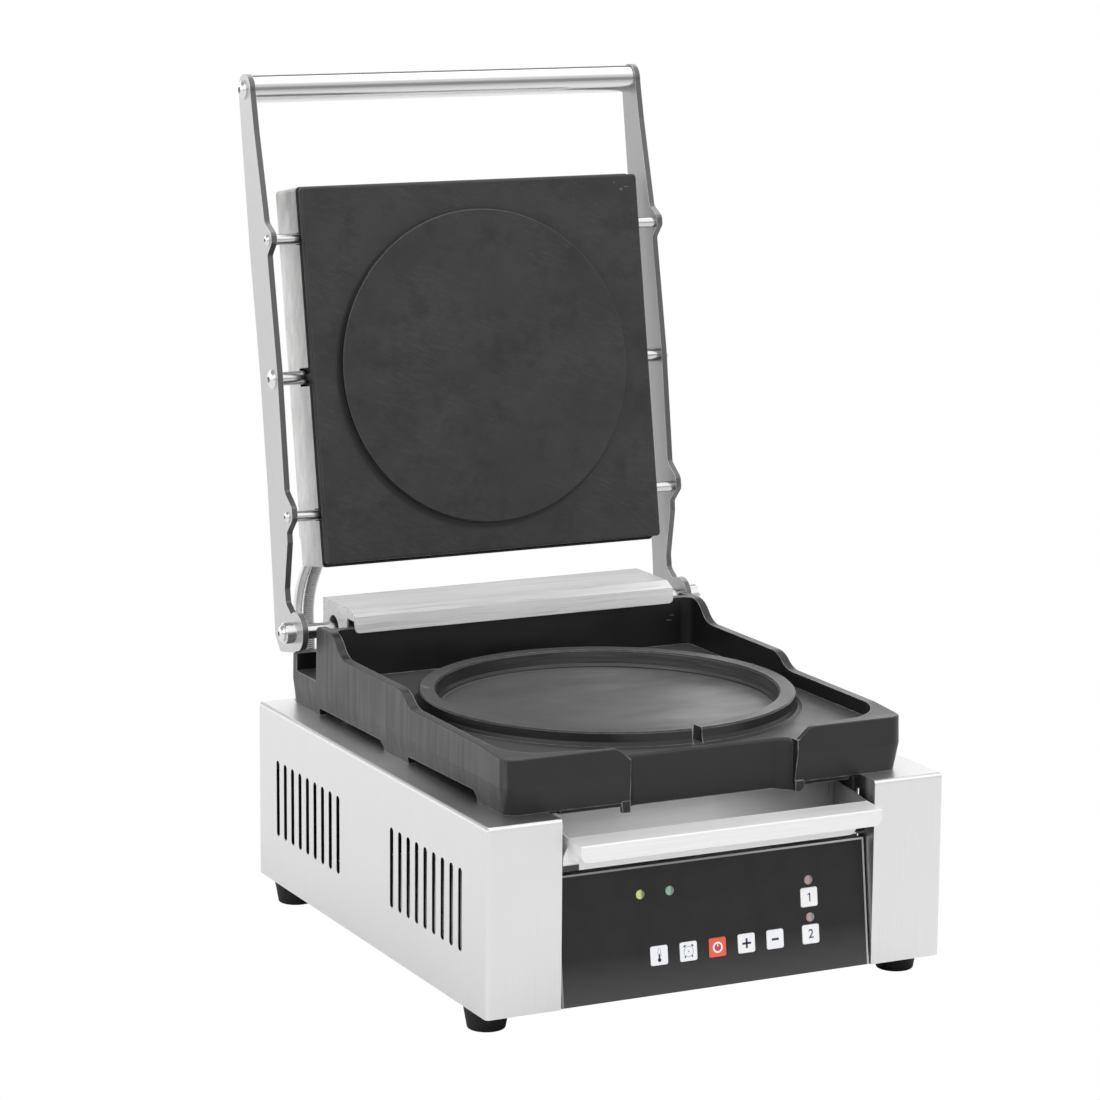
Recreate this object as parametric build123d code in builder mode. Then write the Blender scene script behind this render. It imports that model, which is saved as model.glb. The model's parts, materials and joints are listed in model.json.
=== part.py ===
from build123d import *
import os
from math import sin, cos, tan, radians, degrees, atan2, hypot, sqrt, pi

# Countertop omelet maker with a hinged upper plate, shown with its lid open.
# Millimetres. X runs to the right, Y to the back and Z up. The origin is the middle of the
# machine's whole outline on the table with the lid open, so the body sits a little forward of it.

os.makedirs("parts", exist_ok=True)


def save(solid, label):
    solid.label = label
    export_step(solid, "parts/" + label + ".step")


# Body
body_w = 310.0
body_d = 348.2
body_h = 116.0
body_y = -21.5
foot_h = 14.0
sheet = 1.5
bend_r = 2.5
column_w = 48.9
column_return = 18.0

half_w = body_w / 2
front_y = body_y - body_d / 2
back_y = body_y + body_d / 2
base_z = foot_h
deck_z = base_z + body_h
bay_half = half_w - column_w

# Deck opening under the lower casting, and the holes for the two conduits
deck_open_half = bay_half
deck_open_back = body_y - 110.0
conduit_hole_gap = 0.3

# Vents in the side walls: two groups of nine upright slots
vent_w = 5.0
vent_low = 32.6
vent_high = body_h - vent_low
vent_count = 9
vent_pitch = 12.35
vent_back_first = 142.8
vent_front_first = -39.0

# Feet
foot_r_low = 11.5
foot_r_high = 14.0
foot_x = half_w - 14.0
foot_front = front_y + 29.1
foot_back = back_y - 27.1
foot_screw_r = 2.0

# Hinge of the lid, and how far the arms lean back when open
hinge_y = body_y + 140.84
hinge_z = deck_z + 52.31
lean = 9.93
shaft_r = 5.0
run_gap = 0.05

# Lower casting, heights above the deck
cast_half = half_w - 19.7
cast_front = body_y - 157.5
cast_back = body_y + 164.5
wall_in = cast_half - 5.7
front_top = 34.2
wall_low = 36.0
wall_high = 45.2
ear_top = 59.0
floor_h = 26.7
cook_h = 25.5
ring_h = 36.9
ring_y = body_y - 23.5
ring_out = 118.3
ring_in = ring_out - 10.2
lip_front = body_y - 148.0
lip_low = -4.5
spout_left = -52.5
spout_right = 60.5
back_wall_front = body_y + 108.0
back_wall_back = body_y + 113.0
rear_wall_front = body_y + 156.0
rear_top = 34.6
rear_floor = 23.0
under_h = 17.0
under_half = cast_half - 6.8
under_back = body_y + 100.0

# Lid arms and what they carry, measured along the arm and square to it (plus is forward)
arm_in = cast_half + 3.4
arm_t = 4.0
arm_out = arm_in + arm_t
handle_along = 353.8
handle_off = -21.3
handle_r = 9.0
rod_along = 89.7
rod_off = 0.9
rod_r = 3.5
rod_tip = arm_in - 20.1
pivot_off = -7.7
pivot_r = 4.5
pivot_tip = arm_in - 30.7

# Upper plate and its housing, offsets from the plate's front face (minus is backward)
plate_half = arm_in - 16.6
plate_along = 164.6
plate_front = 12.9
plate_t = 6.8
disc_r = ring_in - 5.0
disc_h = 3.5
rebate_half = plate_half - 4.7
housing_front = -10.0
housing_back = -46.0
housing_half = plate_half - 0.6
housing_up = plate_half + 1.1
housing_down = plate_half + 2.2
housing_sheet = 1.2
tilt_play = 1.7

# Rear cover over the hinge
cover_half = cast_half - 19.4
cover_sheet = 1.2

# Drip tray
tray_half = bay_half - 4.1
tray_sheet = 1.2
tray_low = deck_z - 32.2
tray_front = body_y - 190.0
tray_wall = body_y - 172.0
tray_back = body_y - 133.3
tray_lip_z = deck_z - 13.2
tray_rear_z = deck_z - 7.6

# Control panel
panel_half = bay_half - 1.1
panel_bottom_y = body_y - 173.5
panel_bottom_z = base_z + 0.3
panel_lean = 7.3
panel_h = body_h - 37.2
panel_sheet = 1.2
overlay_t = 1.2
overlay_rim = 1.2
key_w = 11.8
key_corner = 1.4
key_gap = 0.35
key_rise = 0.4
key_travel = 0.8
light_r = 3.0

key_places = {
    "key_temperature": (-39.2, 23.65),
    "key_timer": (-19.35, 23.65),
    "key_power": (0.5, 23.65),
    "key_plus": (20.35, 23.65),
    "key_minus": (40.2, 23.65),
    "key_one": (65.0, 46.4),
    "key_two": (65.1, 23.65),
}
light_places = {
    "light_yellow": [(-49.8, 61.7)],
    "light_green": [(-30.0, 61.7)],
    "lights_channel": [(65.2, 56.9), (65.4, 34.0)],
}

# Conduits between the lid housing and the deck
conduit_a_r = 3.1
conduit_b_r = 3.5
conduit_wall = 0.6
conduit_a_x = -half_w + 26.2
conduit_b_x = -half_w + 34.0
conduit_drop_y = body_y + 168.5
# bends as shares of the way back and up from the drop to the outlet
route_turns = ((1.124, 0.800), (1.096, 0.588), (0.646, 0.353), (0.169, 0.141))


# Work planes of the leaning parts
def tilted(along, off, x=0.0):
    """A point on the open lid: along the arm from the hinge, off forward of the hinge line."""
    t = radians(lean)
    y = hinge_y + along * sin(t) - off * cos(t)
    z = hinge_z + along * cos(t) + off * sin(t)
    return (x, y, z)


t_lean = radians(lean)
lid_up = (0.0, sin(t_lean), cos(t_lean))
lid_forward = (0.0, -cos(t_lean), sin(t_lean))

# Sketches on this plane have X to the right and Y up the arm, and it faces forward.
plate_plane = Plane(origin=tilted(plate_along, plate_front), x_dir=(1, 0, 0), z_dir=lid_forward)

p_lean = radians(panel_lean)
panel_up = (0.0, sin(p_lean), cos(p_lean))
panel_out = (0.0, -cos(p_lean), sin(p_lean))
panel_plane = Plane(origin=(0, panel_bottom_y, panel_bottom_z), x_dir=(1, 0, 0), z_dir=panel_out)


def side_sketch_plane(x):
    """A plane across the machine at x whose sketches have X to the back and Y up."""
    return Plane(origin=(x, 0, 0), x_dir=(0, 1, 0), z_dir=(1, 0, 0))


def arm_level(x):
    """A plane across the lid at x whose sketches have X along the arm and Y forward."""
    return Plane(origin=(x, hinge_y, hinge_z), x_dir=lid_up, z_dir=(1, 0, 0))


def plate_level(off):
    """A plane parallel to the plate's front face, off forward of it, with X right and Y up the arm."""
    return plate_plane.offset(off)


def s_curve(start, end):
    """Two tangent arcs from start to end, level at both ends."""
    middle = ((start[0] + end[0]) / 2, (start[1] + end[1]) / 2)
    TangentArc(start, middle, tangent=(1, 0))
    TangentArc(end, middle, tangent=(-1, 0))


def casting_y(value):
    return body_y + value


# Body shell: sides, deck and two front columns, bent from one sheet
with BuildPart() as body_shell:
    with Locations((0, body_y, base_z + body_h / 2)):
        Box(body_w, body_d, body_h)
    uprights = body_shell.edges().filter_by(Axis.Z)
    uprights = uprights.filter_by_position(Axis.Y, front_y - 1, front_y + 1)
    tops = body_shell.edges().filter_by_position(Axis.Z, deck_z - 0.1, deck_z + 0.1)
    tops = [e for e in tops if abs(e.center().Y - back_y) > 1]
    fillet(list(uprights) + tops, bend_r)
    with Locations((0, (front_y + sheet + back_y + 20) / 2, (base_z - 20 + deck_z - sheet) / 2)):
        Box(
            body_w - 2 * sheet,
            back_y + 20 - front_y - sheet,
            deck_z - sheet - base_z + 20,
            mode=Mode.SUBTRACT,
        )
    # the bay between the columns, and the deck opening behind it
    with BuildSketch(Plane.XY.offset(base_z - 1)):
        with Locations((0, (front_y - 5 + front_y + column_return) / 2)):
            Rectangle(2 * bay_half, column_return + 5)
    extrude(amount=body_h + 5, mode=Mode.SUBTRACT)
    with BuildSketch(Plane.XY.offset(deck_z - sheet - 1)):
        with Locations((0, (front_y + deck_open_back) / 2)):
            RectangleRounded(2 * deck_open_half, deck_open_back - front_y, 8)
        with Locations((0, front_y + 10)):
            Rectangle(2 * deck_open_half, 24)
    extrude(amount=sheet + 3, mode=Mode.SUBTRACT)
    # the columns' inward returns
    for side in (-1, 1):
        return_y = front_y + (bend_r + column_return) / 2
        with Locations((side * (bay_half + sheet / 2), return_y, base_z + (body_h - sheet) / 2)):
            Box(sheet, column_return - bend_r + sheet, body_h - sheet)
    # upright vents in both side walls
    for first in (vent_back_first, vent_front_first):
        with BuildSketch(side_sketch_plane(-half_w - 5)):
            for i in range(vent_count):
                with Locations((body_y + first - i * vent_pitch, base_z + (vent_low + vent_high) / 2)):
                    SlotOverall(vent_high - vent_low, vent_w, rotation=90)
        extrude(amount=body_w + 10, mode=Mode.SUBTRACT)
    # two holes for the conduits
    for x, r in ((conduit_a_x, conduit_a_r), (conduit_b_x, conduit_b_r)):
        with Locations((x, conduit_drop_y, deck_z - 5)):
            Cylinder(r + conduit_hole_gap, 20, mode=Mode.SUBTRACT)

print("shell", round(body_shell.part.volume))
save(body_shell.part, "body_shell")

# Rear panel, with an entry for the cord gland and a row of vents
cord_x = half_w - 59.0
cord_z = base_z + 30.0
cord_hole_r = 8.0
with BuildPart() as rear_panel:
    with Locations((0, back_y - sheet / 2, (base_z + sheet + deck_z - sheet) / 2)):
        Box(body_w - 2 * sheet - 0.2, sheet, body_h - 2 * sheet - 0.4)
    with BuildSketch(Plane(origin=(0, back_y + 2, 0), x_dir=(1, 0, 0), z_dir=(0, -1, 0))):
        for i in range(vent_count):
            with Locations(((i - 4) * vent_pitch - 20, base_z + (vent_low + vent_high) / 2)):
                SlotOverall(vent_high - vent_low, vent_w, rotation=90)
        with Locations((cord_x, cord_z)):
            Circle(cord_hole_r)
    extrude(amount=10, mode=Mode.SUBTRACT)
save(rear_panel.part, "rear_panel")

# Cord gland without a cord: hexagon outside, flange, threaded nose inside and a through bore
with BuildPart() as cord_gland:
    gland_plane = Plane(origin=(cord_x, back_y, cord_z), x_dir=(1, 0, 0), z_dir=(0, 1, 0))
    with BuildSketch(gland_plane):
        RegularPolygon(11, 6)
    extrude(amount=5)
    with BuildSketch(gland_plane.offset(5)):
        Circle(9)
    extrude(amount=8, taper=12)
    with BuildSketch(gland_plane.offset(-10)):
        Circle(cord_hole_r - 0.2)
    extrude(amount=10)
    with BuildSketch(gland_plane.offset(-12)):
        Circle(3.8)
    extrude(amount=30, mode=Mode.SUBTRACT)
save(cord_gland.part, "cord_gland")

# Bottom pan
foot_places = [(sx * foot_x, fy) for sx in (-1, 1) for fy in (foot_front, foot_back)]
with BuildPart() as bottom_pan:
    with BuildSketch(Plane.XY.offset(base_z)):
        with Locations((0, (front_y + 12 + back_y - 0.2) / 2)):
            Rectangle(body_w - 2 * sheet - 0.2, back_y - 0.2 - front_y - 12)
        with Locations(*[(side * (bay_half + sheet / 2), front_y + column_return / 2) for side in (-1, 1)]):
            Rectangle(sheet + 1.2, column_return + 4.0, mode=Mode.SUBTRACT)
        with Locations(*foot_places):
            Circle(foot_screw_r + 0.2, mode=Mode.SUBTRACT)
    extrude(amount=sheet)
save(bottom_pan.part, "bottom_pan")

# Four rubber feet and their screws
foot_recess_r = 5.0
foot_recess_h = 6.0
with BuildPart() as rubber_feet:
    for place in foot_places:
        with BuildSketch(Plane.XY):
            with Locations(place):
                Circle(foot_r_low)
        extrude(amount=foot_h, taper=-degrees(atan2(foot_r_high - foot_r_low, foot_h)))
    fillet(rubber_feet.faces().filter_by(Axis.Z).group_by(Axis.Z)[0].edges(), 1.2)
    with Locations(*[(x, y, 0) for x, y in foot_places]):
        Cylinder(foot_screw_r + 0.2, 2 * foot_h + 2, mode=Mode.SUBTRACT)
        Cylinder(foot_recess_r, 2 * foot_recess_h, mode=Mode.SUBTRACT)
save(rubber_feet.part, "rubber_feet")

with BuildPart() as foot_screws:
    for x, y in foot_places:
        with Locations((x, y, foot_recess_h - 1.5)):
            Cylinder(4.2, 3.0)
        with Locations((x, y, (foot_recess_h + base_z + sheet + 3.0) / 2)):
            Cylinder(foot_screw_r, base_z + sheet + 3.0 - foot_recess_h)
save(foot_screws.part, "foot_screws")

def on_outer_top(edge):
    """True for an edge on the casting's outside, at the top of its walls."""
    c = edge.center()
    at_side = abs(c.X) > cast_half - 1.2
    at_end = c.Y < cast_front + 0.7 or c.Y > rear_wall_front + 0.1
    return c.Z > deck_z + 30 and (at_side or at_end)


# Lower casting: stepped skirts, a spout between two blocks, and a raised ring round the well
with BuildPart() as lower_casting:
    for low, high, grow_low, grow_high in ((0.0, 17.0, -1.6, 0.7), (17.0, 62.0, 0.7, -0.1)):
        for level, grow in ((low, grow_low), (high, grow_high)):
            with BuildSketch(Plane.XY.offset(deck_z + level)) as outline:
                with Locations((0, (cast_front - grow + cast_back) / 2)):
                    Rectangle(2 * (cast_half + grow), cast_back - cast_front + grow)
                fillet(outline.vertices().group_by(Axis.Y)[0], 9.0)
                fillet(outline.vertices().group_by(Axis.Y)[-1], 3.0)
        loft()
    # side profile: front corner, two S-steps, ears at the hinge, notch and rear wall
    with BuildSketch(side_sketch_plane(-half_w)):
        with BuildLine():
            Polyline(
                (casting_y(-30), deck_z + wall_low),
                (casting_y(-123), deck_z + wall_low),
                (casting_y(-150), deck_z + front_top),
                (casting_y(-170), deck_z + front_top),
                (casting_y(-170), deck_z + 70),
                (casting_y(175), deck_z + 70),
                (casting_y(175), deck_z + rear_top),
                (casting_y(156), deck_z + rear_top),
                (casting_y(156), deck_z + rear_floor),
                (casting_y(124.5), deck_z + rear_floor),
                (casting_y(124.5), deck_z + ear_top - 1.5),
                (casting_y(121.5), deck_z + ear_top),
                (casting_y(105), deck_z + ear_top),
            )
            s_curve((casting_y(76), deck_z + wall_high), (casting_y(105), deck_z + ear_top))
            Line((casting_y(76), deck_z + wall_high), (casting_y(-4), deck_z + wall_high))
            s_curve((casting_y(-30), deck_z + wall_low), (casting_y(-4), deck_z + wall_high))
        make_face()
    extrude(amount=body_w, mode=Mode.SUBTRACT)
    # rear compartment behind the back wall
    with BuildSketch(Plane.XY.offset(deck_z + rear_floor)):
        with Locations((0, (back_wall_back + rear_wall_front) / 2)):
            Rectangle(2 * wall_in, rear_wall_front - back_wall_back)
    extrude(amount=60, mode=Mode.SUBTRACT)
    # the tray inside the skirts, open to the front at the spout
    corner = 30.0
    corner_y = casting_y(-119.8)
    with BuildSketch(Plane.XY.offset(deck_z + floor_h)):
        with BuildLine():
            turn = radians(75)
            for side in (-1, 1):
                cx = side * (wall_in - corner)
                end = (cx + side * corner * cos(turn), corner_y - corner * sin(turn))
                ThreePointArc(
                    (side * wall_in, corner_y),
                    (cx + side * corner * cos(turn / 2), corner_y - corner * sin(turn / 2)),
                    end,
                )
                Polyline(end, (side * 74.0, casting_y(-154.7)), (side * 50.0, casting_y(-155.6)))
                Line((side * 50.0, casting_y(-155.6)), (side * 50.0, casting_y(-162)))
                Line((side * wall_in, corner_y), (side * wall_in, back_wall_front - 7))
                ThreePointArc(
                    (side * wall_in, back_wall_front - 7),
                    (side * (wall_in - 7 + 7 * cos(pi / 4)), back_wall_front - 7 + 7 * sin(pi / 4)),
                    (side * (wall_in - 7), back_wall_front),
                )
            Line((-50.0, casting_y(-162)), (50.0, casting_y(-162)))
            Line((-(wall_in - 7), back_wall_front), (wall_in - 7, back_wall_front))
        make_face()
    extrude(amount=60, mode=Mode.SUBTRACT)
    # the blocks' inner ends round over and slope down to the spout
    for inner, s in ((spout_left - 0.8, -1), (spout_right + 0.7, 1)):
        start = (inner + s * 12.0, deck_z + front_top)
        knee = (inner + s * 6.4, deck_z + front_top - 1.9)
        with BuildSketch(Plane(origin=(0, casting_y(-163), 0), x_dir=(1, 0, 0), z_dir=(0, -1, 0))):
            with BuildLine():
                TangentArc(start, knee, tangent=(-s, 0))
                Polyline(
                    knee,
                    (inner, deck_z + floor_h),
                    (inner - s * 8, deck_z + floor_h),
                    (inner - s * 8, deck_z + front_top + 3),
                    (start[0], deck_z + front_top + 3),
                    start,
                )
            make_face()
        extrude(amount=-12, mode=Mode.SUBTRACT)
    # below the spout the front wall hangs into the bay, lowest at the right block's corner
    with BuildSketch(Plane(origin=(0, casting_y(-157.0), 0), x_dir=(1, 0, 0), z_dir=(0, -1, 0))):
        with BuildLine():
            Polyline(
                (spout_right - 2.5, deck_z - 5.8),
                (spout_right + 2.8, deck_z - 5.8),
            )
            ThreePointArc(
                (spout_right + 2.8, deck_z - 5.8),
                (spout_right + 4.9, deck_z - 4.4),
                (spout_right + 5.8, deck_z + 1.0),
            )
            Polyline(
                (spout_right + 5.8, deck_z + 1.0),
                (spout_left + 1.5, deck_z + 1.0),
                (spout_left + 1.5, deck_z + lip_low),
                (spout_right - 14.0, deck_z + lip_low),
            )
            s_curve((spout_right - 14.0, deck_z + lip_low), (spout_right - 2.5, deck_z - 5.8))
        make_face()
    extrude(amount=-14.5)
    # the spout's face stands back and meets the blocks in hollow curves
    with BuildSketch(Plane.XY.offset(deck_z - 10)):
        with BuildLine():
            Line((spout_left + 10.0, lip_front), (spout_right - 10.0, lip_front))
            TangentArc((spout_right - 10.0, lip_front), (spout_right - 0.5, casting_y(-153.5)), tangent=(1, 0))
            Polyline(
                (spout_right - 0.5, casting_y(-153.5)),
                (spout_right, cast_front),
                (spout_right + 4.0, casting_y(-163)),
                (spout_left - 4.0, casting_y(-163)),
                (spout_left, cast_front),
                (spout_left + 0.5, casting_y(-153.5)),
            )
            TangentArc((spout_left + 10.0, lip_front), (spout_left + 0.5, casting_y(-153.5)), tangent=(-1, 0))
        make_face()
    extrude(amount=80, mode=Mode.SUBTRACT)
    # rounded pouring lip
    lip = [
        e
        for e in lower_casting.edges()
        if abs(e.center().Z - deck_z - floor_h) < 0.1
        and casting_y(-154) < e.center().Y < lip_front + 0.1
        and spout_left < e.center().X < spout_right
    ]
    fillet(lip, 2.6)
    # hollow underside, in two bays with a web between
    with BuildSketch(Plane.XY.offset(deck_z - 8)):
        with Locations((0, (casting_y(-141) + under_back) / 2)):
            RectangleRounded(2 * under_half, under_back - casting_y(-141), 12)
        with Locations((0, (casting_y(107) + casting_y(159)) / 2)):
            RectangleRounded(2 * under_half, 52, 5)
    extrude(amount=8 + under_h, mode=Mode.SUBTRACT)
    # drip tab at the left block's corner
    with BuildSketch(Plane(origin=(0, casting_y(-153.0), 0), x_dir=(1, 0, 0), z_dir=(0, -1, 0))):
        with BuildLine():
            Polyline(
                (spout_left - 5.5, deck_z + 1),
                (spout_left - 4.6, deck_z - 6.2),
                (spout_left + 0.4, deck_z - 6.2),
                (spout_left + 0.4, deck_z + 1),
                close=True,
            )
        make_face()
    extrude(amount=3.2)
    # low rails that locate the front wall in the deck opening
    for side, inner in ((-1, -spout_left), (1, spout_right + 4.0)):
        with BuildSketch(side_sketch_plane(side * (inner + 1.5))):
            with BuildLine():
                Polyline(
                    (casting_y(-155.7), deck_z + 0.5),
                    (casting_y(-155.0), deck_z - 2.4),
                    (casting_y(-150.5), deck_z - 2.4),
                    (casting_y(-149.5), deck_z + 0.5),
                    close=True,
                )
            make_face()
        extrude(amount=side * (bay_half - 9.1 - inner))
    # hand recesses along the bottom of both skirts
    for rear_low, rear_top_y, rear_h, front_top_y, front_low, front_h in (
        (123.0, 122.6, 5.2, 24.0, 15.0, 6.0),
        (-17.4, -15.6, 4.8, -112.6, -119.8, 6.4),
    ):
        for side in (-1, 1):
            with BuildSketch(side_sketch_plane(side * half_w)) as recess:
                with BuildLine():
                    Polyline(
                        (casting_y(rear_low), deck_z - 1),
                        (casting_y(rear_top_y), deck_z + rear_h),
                        (casting_y(front_top_y), deck_z + front_h),
                        (casting_y(front_low), deck_z - 1),
                        close=True,
                    )
                make_face()
                fillet(recess.vertices().group_by(Axis.Z)[-1], 2.5)
                fillet(recess.vertices().filter_by(lambda v: abs(v.Z - deck_z - rear_h) < 0.05), 1.6)
            extrude(amount=-side * (half_w - cast_half + 10.3), mode=Mode.SUBTRACT)
    # well and ring
    ring_plane = Plane(origin=(0, ring_y, deck_z), x_dir=(1, 0, 0), z_dir=(0, -1, 0))
    with BuildSketch(ring_plane):
        with BuildLine():
            Polyline((0, cook_h), (107, cook_h), (107, 40), (0, 40), close=True)
        make_face()
    revolve(axis=Axis((0, ring_y, 0), (0, 0, 1)), mode=Mode.SUBTRACT)
    with BuildSketch(ring_plane):
        with BuildLine():
            Polyline(
                (104.5, cook_h - 1.5),
                (104.5, cook_h),
                (106.4, cook_h + 0.7),
                (107.3, cook_h + 2.6),
                (ring_in - 0.2, ring_h - 1.0),
                (ring_in + 0.8, ring_h),
                (ring_out - 1.0, ring_h),
                (ring_out, ring_h - 1.0),
                (ring_out + 0.5, floor_h + 4.0),
                (ring_out + 1.6, floor_h + 1.4),
                (ring_out + 4.2, floor_h),
                (ring_out + 4.2, floor_h - 1.5),
                close=True,
            )
        make_face()
    revolve(axis=Axis((0, ring_y, 0), (0, 0, 1)))
    # pouring notch through the front of the ring
    with Locations((0.1, ring_y - (ring_in + ring_out) / 2, deck_z + floor_h + 0.8 + 10)):
        Box(6.3, 20, 20, mode=Mode.SUBTRACT)
    # soft outer edges along the tops of the walls and the front blocks
    fillet([e for e in lower_casting.edges() if on_outer_top(e)], 0.9)
print("casting", round(lower_casting.part.volume), len(lower_casting.part.solids()), lower_casting.part.is_valid)
save(lower_casting.part, "lower_casting")

# Tubular heater under the well, with its clamp plate and screw
heat_r = 4.0
with BuildPart() as lower_heater:
    loop_r = 68.0
    heat_z = deck_z + under_h - heat_r
    gap = 12.0
    for side in (-1, 1):
        with BuildSketch(Plane(origin=(side * gap, casting_y(92), heat_z), z_dir=(0, -1, 0))):
            Circle(heat_r)
        extrude(amount=casting_y(92) - ring_y - sqrt(loop_r**2 - gap**2))
    with BuildSketch(Plane(origin=(0, ring_y - loop_r, heat_z), x_dir=(0, 1, 0), z_dir=(1, 0, 0))):
        Circle(heat_r)
    revolve(axis=Axis((0, ring_y, 0), (0, 0, 1)))
save(lower_heater.part, "lower_heater")

with BuildPart() as heater_clamp:
    with BuildSketch(Plane.XY.offset(heat_z - heat_r - 2.0)):
        with Locations((0, ring_y)):
            RectangleRounded(170, 24, 6)
            Circle(2.7, mode=Mode.SUBTRACT)
    extrude(amount=2.0)
save(heater_clamp.part, "heater_clamp")

with BuildPart() as clamp_screw:
    with Locations((0, ring_y, heat_z - heat_r - 2.0 - 2.0)):
        Cylinder(5.0, 4.0)
    with Locations((0, ring_y, (heat_z - heat_r - 2.0 + deck_z + under_h) / 2)):
        Cylinder(2.5, deck_z + under_h - heat_z + heat_r + 2.0)
save(clamp_screw.part, "clamp_screw")

# Hinge shaft across the machine, turning in two bearing blocks under the cover
collar_r = 7.0
collar_w = 9.0
shaft_end = arm_out + collar_w - 0.6
end_bore_r = 2.6
stop_x = cover_half - 33.9
stop_pin_r = 2.5
stop_reach = 14.0
with BuildPart() as hinge_shaft:
    with BuildSketch(Plane(origin=(-shaft_end, hinge_y, hinge_z), z_dir=(1, 0, 0))):
        Circle(shaft_r)
    extrude(amount=2 * shaft_end)
    for side in (-1, 1):
        with BuildSketch(Plane(origin=(side * (shaft_end + 1), hinge_y, hinge_z), z_dir=(-side, 0, 0))):
            Circle(end_bore_r)
        extrude(amount=11, mode=Mode.SUBTRACT)
        with BuildSketch(Plane(origin=(side * stop_x, hinge_y - 10, hinge_z), z_dir=(0, 1, 0))):
            Circle(stop_pin_r)
        extrude(amount=20, mode=Mode.SUBTRACT)
save(hinge_shaft.part, "hinge_shaft")

# Cross pins in the shaft: in the open position they come down on the blocks' horns
with BuildPart() as stop_pins:
    for side in (-1, 1):
        with BuildSketch(Plane(origin=(side * stop_x, hinge_y - shaft_r - 1, hinge_z), z_dir=(0, 1, 0))):
            Circle(stop_pin_r)
        extrude(amount=shaft_r + 1 + stop_reach)
save(stop_pins.part, "stop_pins")

block_floor = deck_z + rear_floor
block_in = cover_half - 37.9
block_mid = cover_half - 27.9
block_out = cover_half - 11.9
block_screw_y = hinge_y - 19.0
for side, label in ((-1, "left_bearing_block"), (1, "right_bearing_block")):
    with BuildPart() as bearing_block:
        # foot
        with BuildSketch(Plane.XY.offset(block_floor)):
            with Locations((side * (block_in + block_out) / 2, hinge_y - 4.8)):
                RectangleRounded(block_out - block_in, 39.0, 3)
            with Locations(*[(side * (block_in + block_out) / 2 + step, block_screw_y) for step in (-7, 7)]):
                Circle(2.2, mode=Mode.SUBTRACT)
        extrude(amount=4.5)
        # upright with the bore
        with BuildSketch(side_sketch_plane(side * block_mid)):
            with BuildLine():
                Polyline(
                    (hinge_y - 9.5, hinge_z),
                    (hinge_y - 12.0, block_floor + 4.5),
                    (hinge_y + 12.0, block_floor + 4.5),
                    (hinge_y + 9.5, hinge_z),
                )
                ThreePointArc((hinge_y - 9.5, hinge_z), (hinge_y, hinge_z + 9.5), (hinge_y + 9.5, hinge_z))
            make_face()
            with Locations((hinge_y, hinge_z)):
                Circle(shaft_r + run_gap, mode=Mode.SUBTRACT)
        extrude(amount=side * (block_out - block_mid))
        # horn that the cross pin rests on
        with BuildSketch(side_sketch_plane(side * block_in)):
            with BuildLine():
                Polyline(
                    (hinge_y + 7.0, block_floor + 4.5),
                    (hinge_y + 9.0, hinge_z - stop_pin_r - 0.05),
                    (hinge_y + 13.5, hinge_z - stop_pin_r - 0.05),
                    (hinge_y + 14.5, block_floor + 4.5),
                    close=True,
                )
            make_face()
        extrude(amount=side * (block_mid - block_in))
    save(bearing_block.part, label)

with BuildPart() as block_screws:
    for side in (-1, 1):
        for step in (-7, 7):
            x = side * (block_in + block_out) / 2 + step
            with Locations((x, block_screw_y, block_floor + 4.5 + 1.5)):
                Cylinder(3.4, 3.0)
            with Locations((x, block_screw_y, block_floor + 4.5 / 2)):
                Cylinder(2.0, 4.5)
save(block_screws.part, "block_screws")

with BuildPart() as hinge_collars:
    for side in (-1, 1):
        with BuildSketch(Plane(origin=(side * arm_out, hinge_y, hinge_z), z_dir=(side, 0, 0))):
            Circle(collar_r)
        extrude(amount=collar_w)
        chamfer(
            hinge_collars.edges().filter_by(GeomType.CIRCLE).filter_by_position(
                Axis.X, side * (arm_out + collar_w) - 0.1, side * (arm_out + collar_w) + 0.1
            ),
            0.6,
        )
        with BuildSketch(Plane(origin=(side * (arm_out - 1), hinge_y, hinge_z), z_dir=(side, 0, 0))):
            Circle(shaft_r + run_gap)
        extrude(amount=shaft_end - arm_out + 1, mode=Mode.SUBTRACT)
        with BuildSketch(Plane(origin=(side * (arm_out - 1), hinge_y, hinge_z), z_dir=(side, 0, 0))):
            Circle(end_bore_r)
        extrude(amount=collar_w + 5, mode=Mode.SUBTRACT)
save(hinge_collars.part, "hinge_collars")


def domed_screw(point, side, head_r, head_h, shank_r, shank):
    """A domed screw whose head stands on the face at point, with a hexagon socket and its shank inward."""
    with BuildPart() as screw:
        with BuildSketch(Plane(origin=point, x_dir=(side, 0, 0), z_dir=(0, 1, 0))):
            with BuildLine():
                Polyline((head_h, 0), (-shank, 0), (-shank, shank_r), (0, shank_r))
                Polyline((0, shank_r), (0, head_r), (0.3 * head_h, head_r))
                ThreePointArc((0.3 * head_h, head_r), (0.86 * head_h, 0.64 * head_r), (head_h, 0))
            make_face()
        revolve(axis=Axis(point, (1, 0, 0)))
        with BuildSketch(Plane(origin=point, x_dir=(0, 1, 0), z_dir=(side, 0, 0)).offset(head_h * 0.35)):
            RegularPolygon(0.36 * head_r, 6)
        extrude(amount=head_h, mode=Mode.SUBTRACT)
    return screw.part


def screw_set(places, head_r, head_h, shank_r, shank, label):
    """One node of like screws, one at each (point, side)."""
    screws = [domed_screw(point, side, head_r, head_h, shank_r, shank) for point, side in places]
    with BuildPart() as node:
        for screw in screws:
            add(screw)
    save(node.part, label)


screw_set(
    [((side * (arm_out + collar_w), hinge_y, hinge_z), side) for side in (-1, 1)],
    5.2, 2.9, end_bore_r - 0.1, 8.0, "hinge_screws",
)

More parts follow.
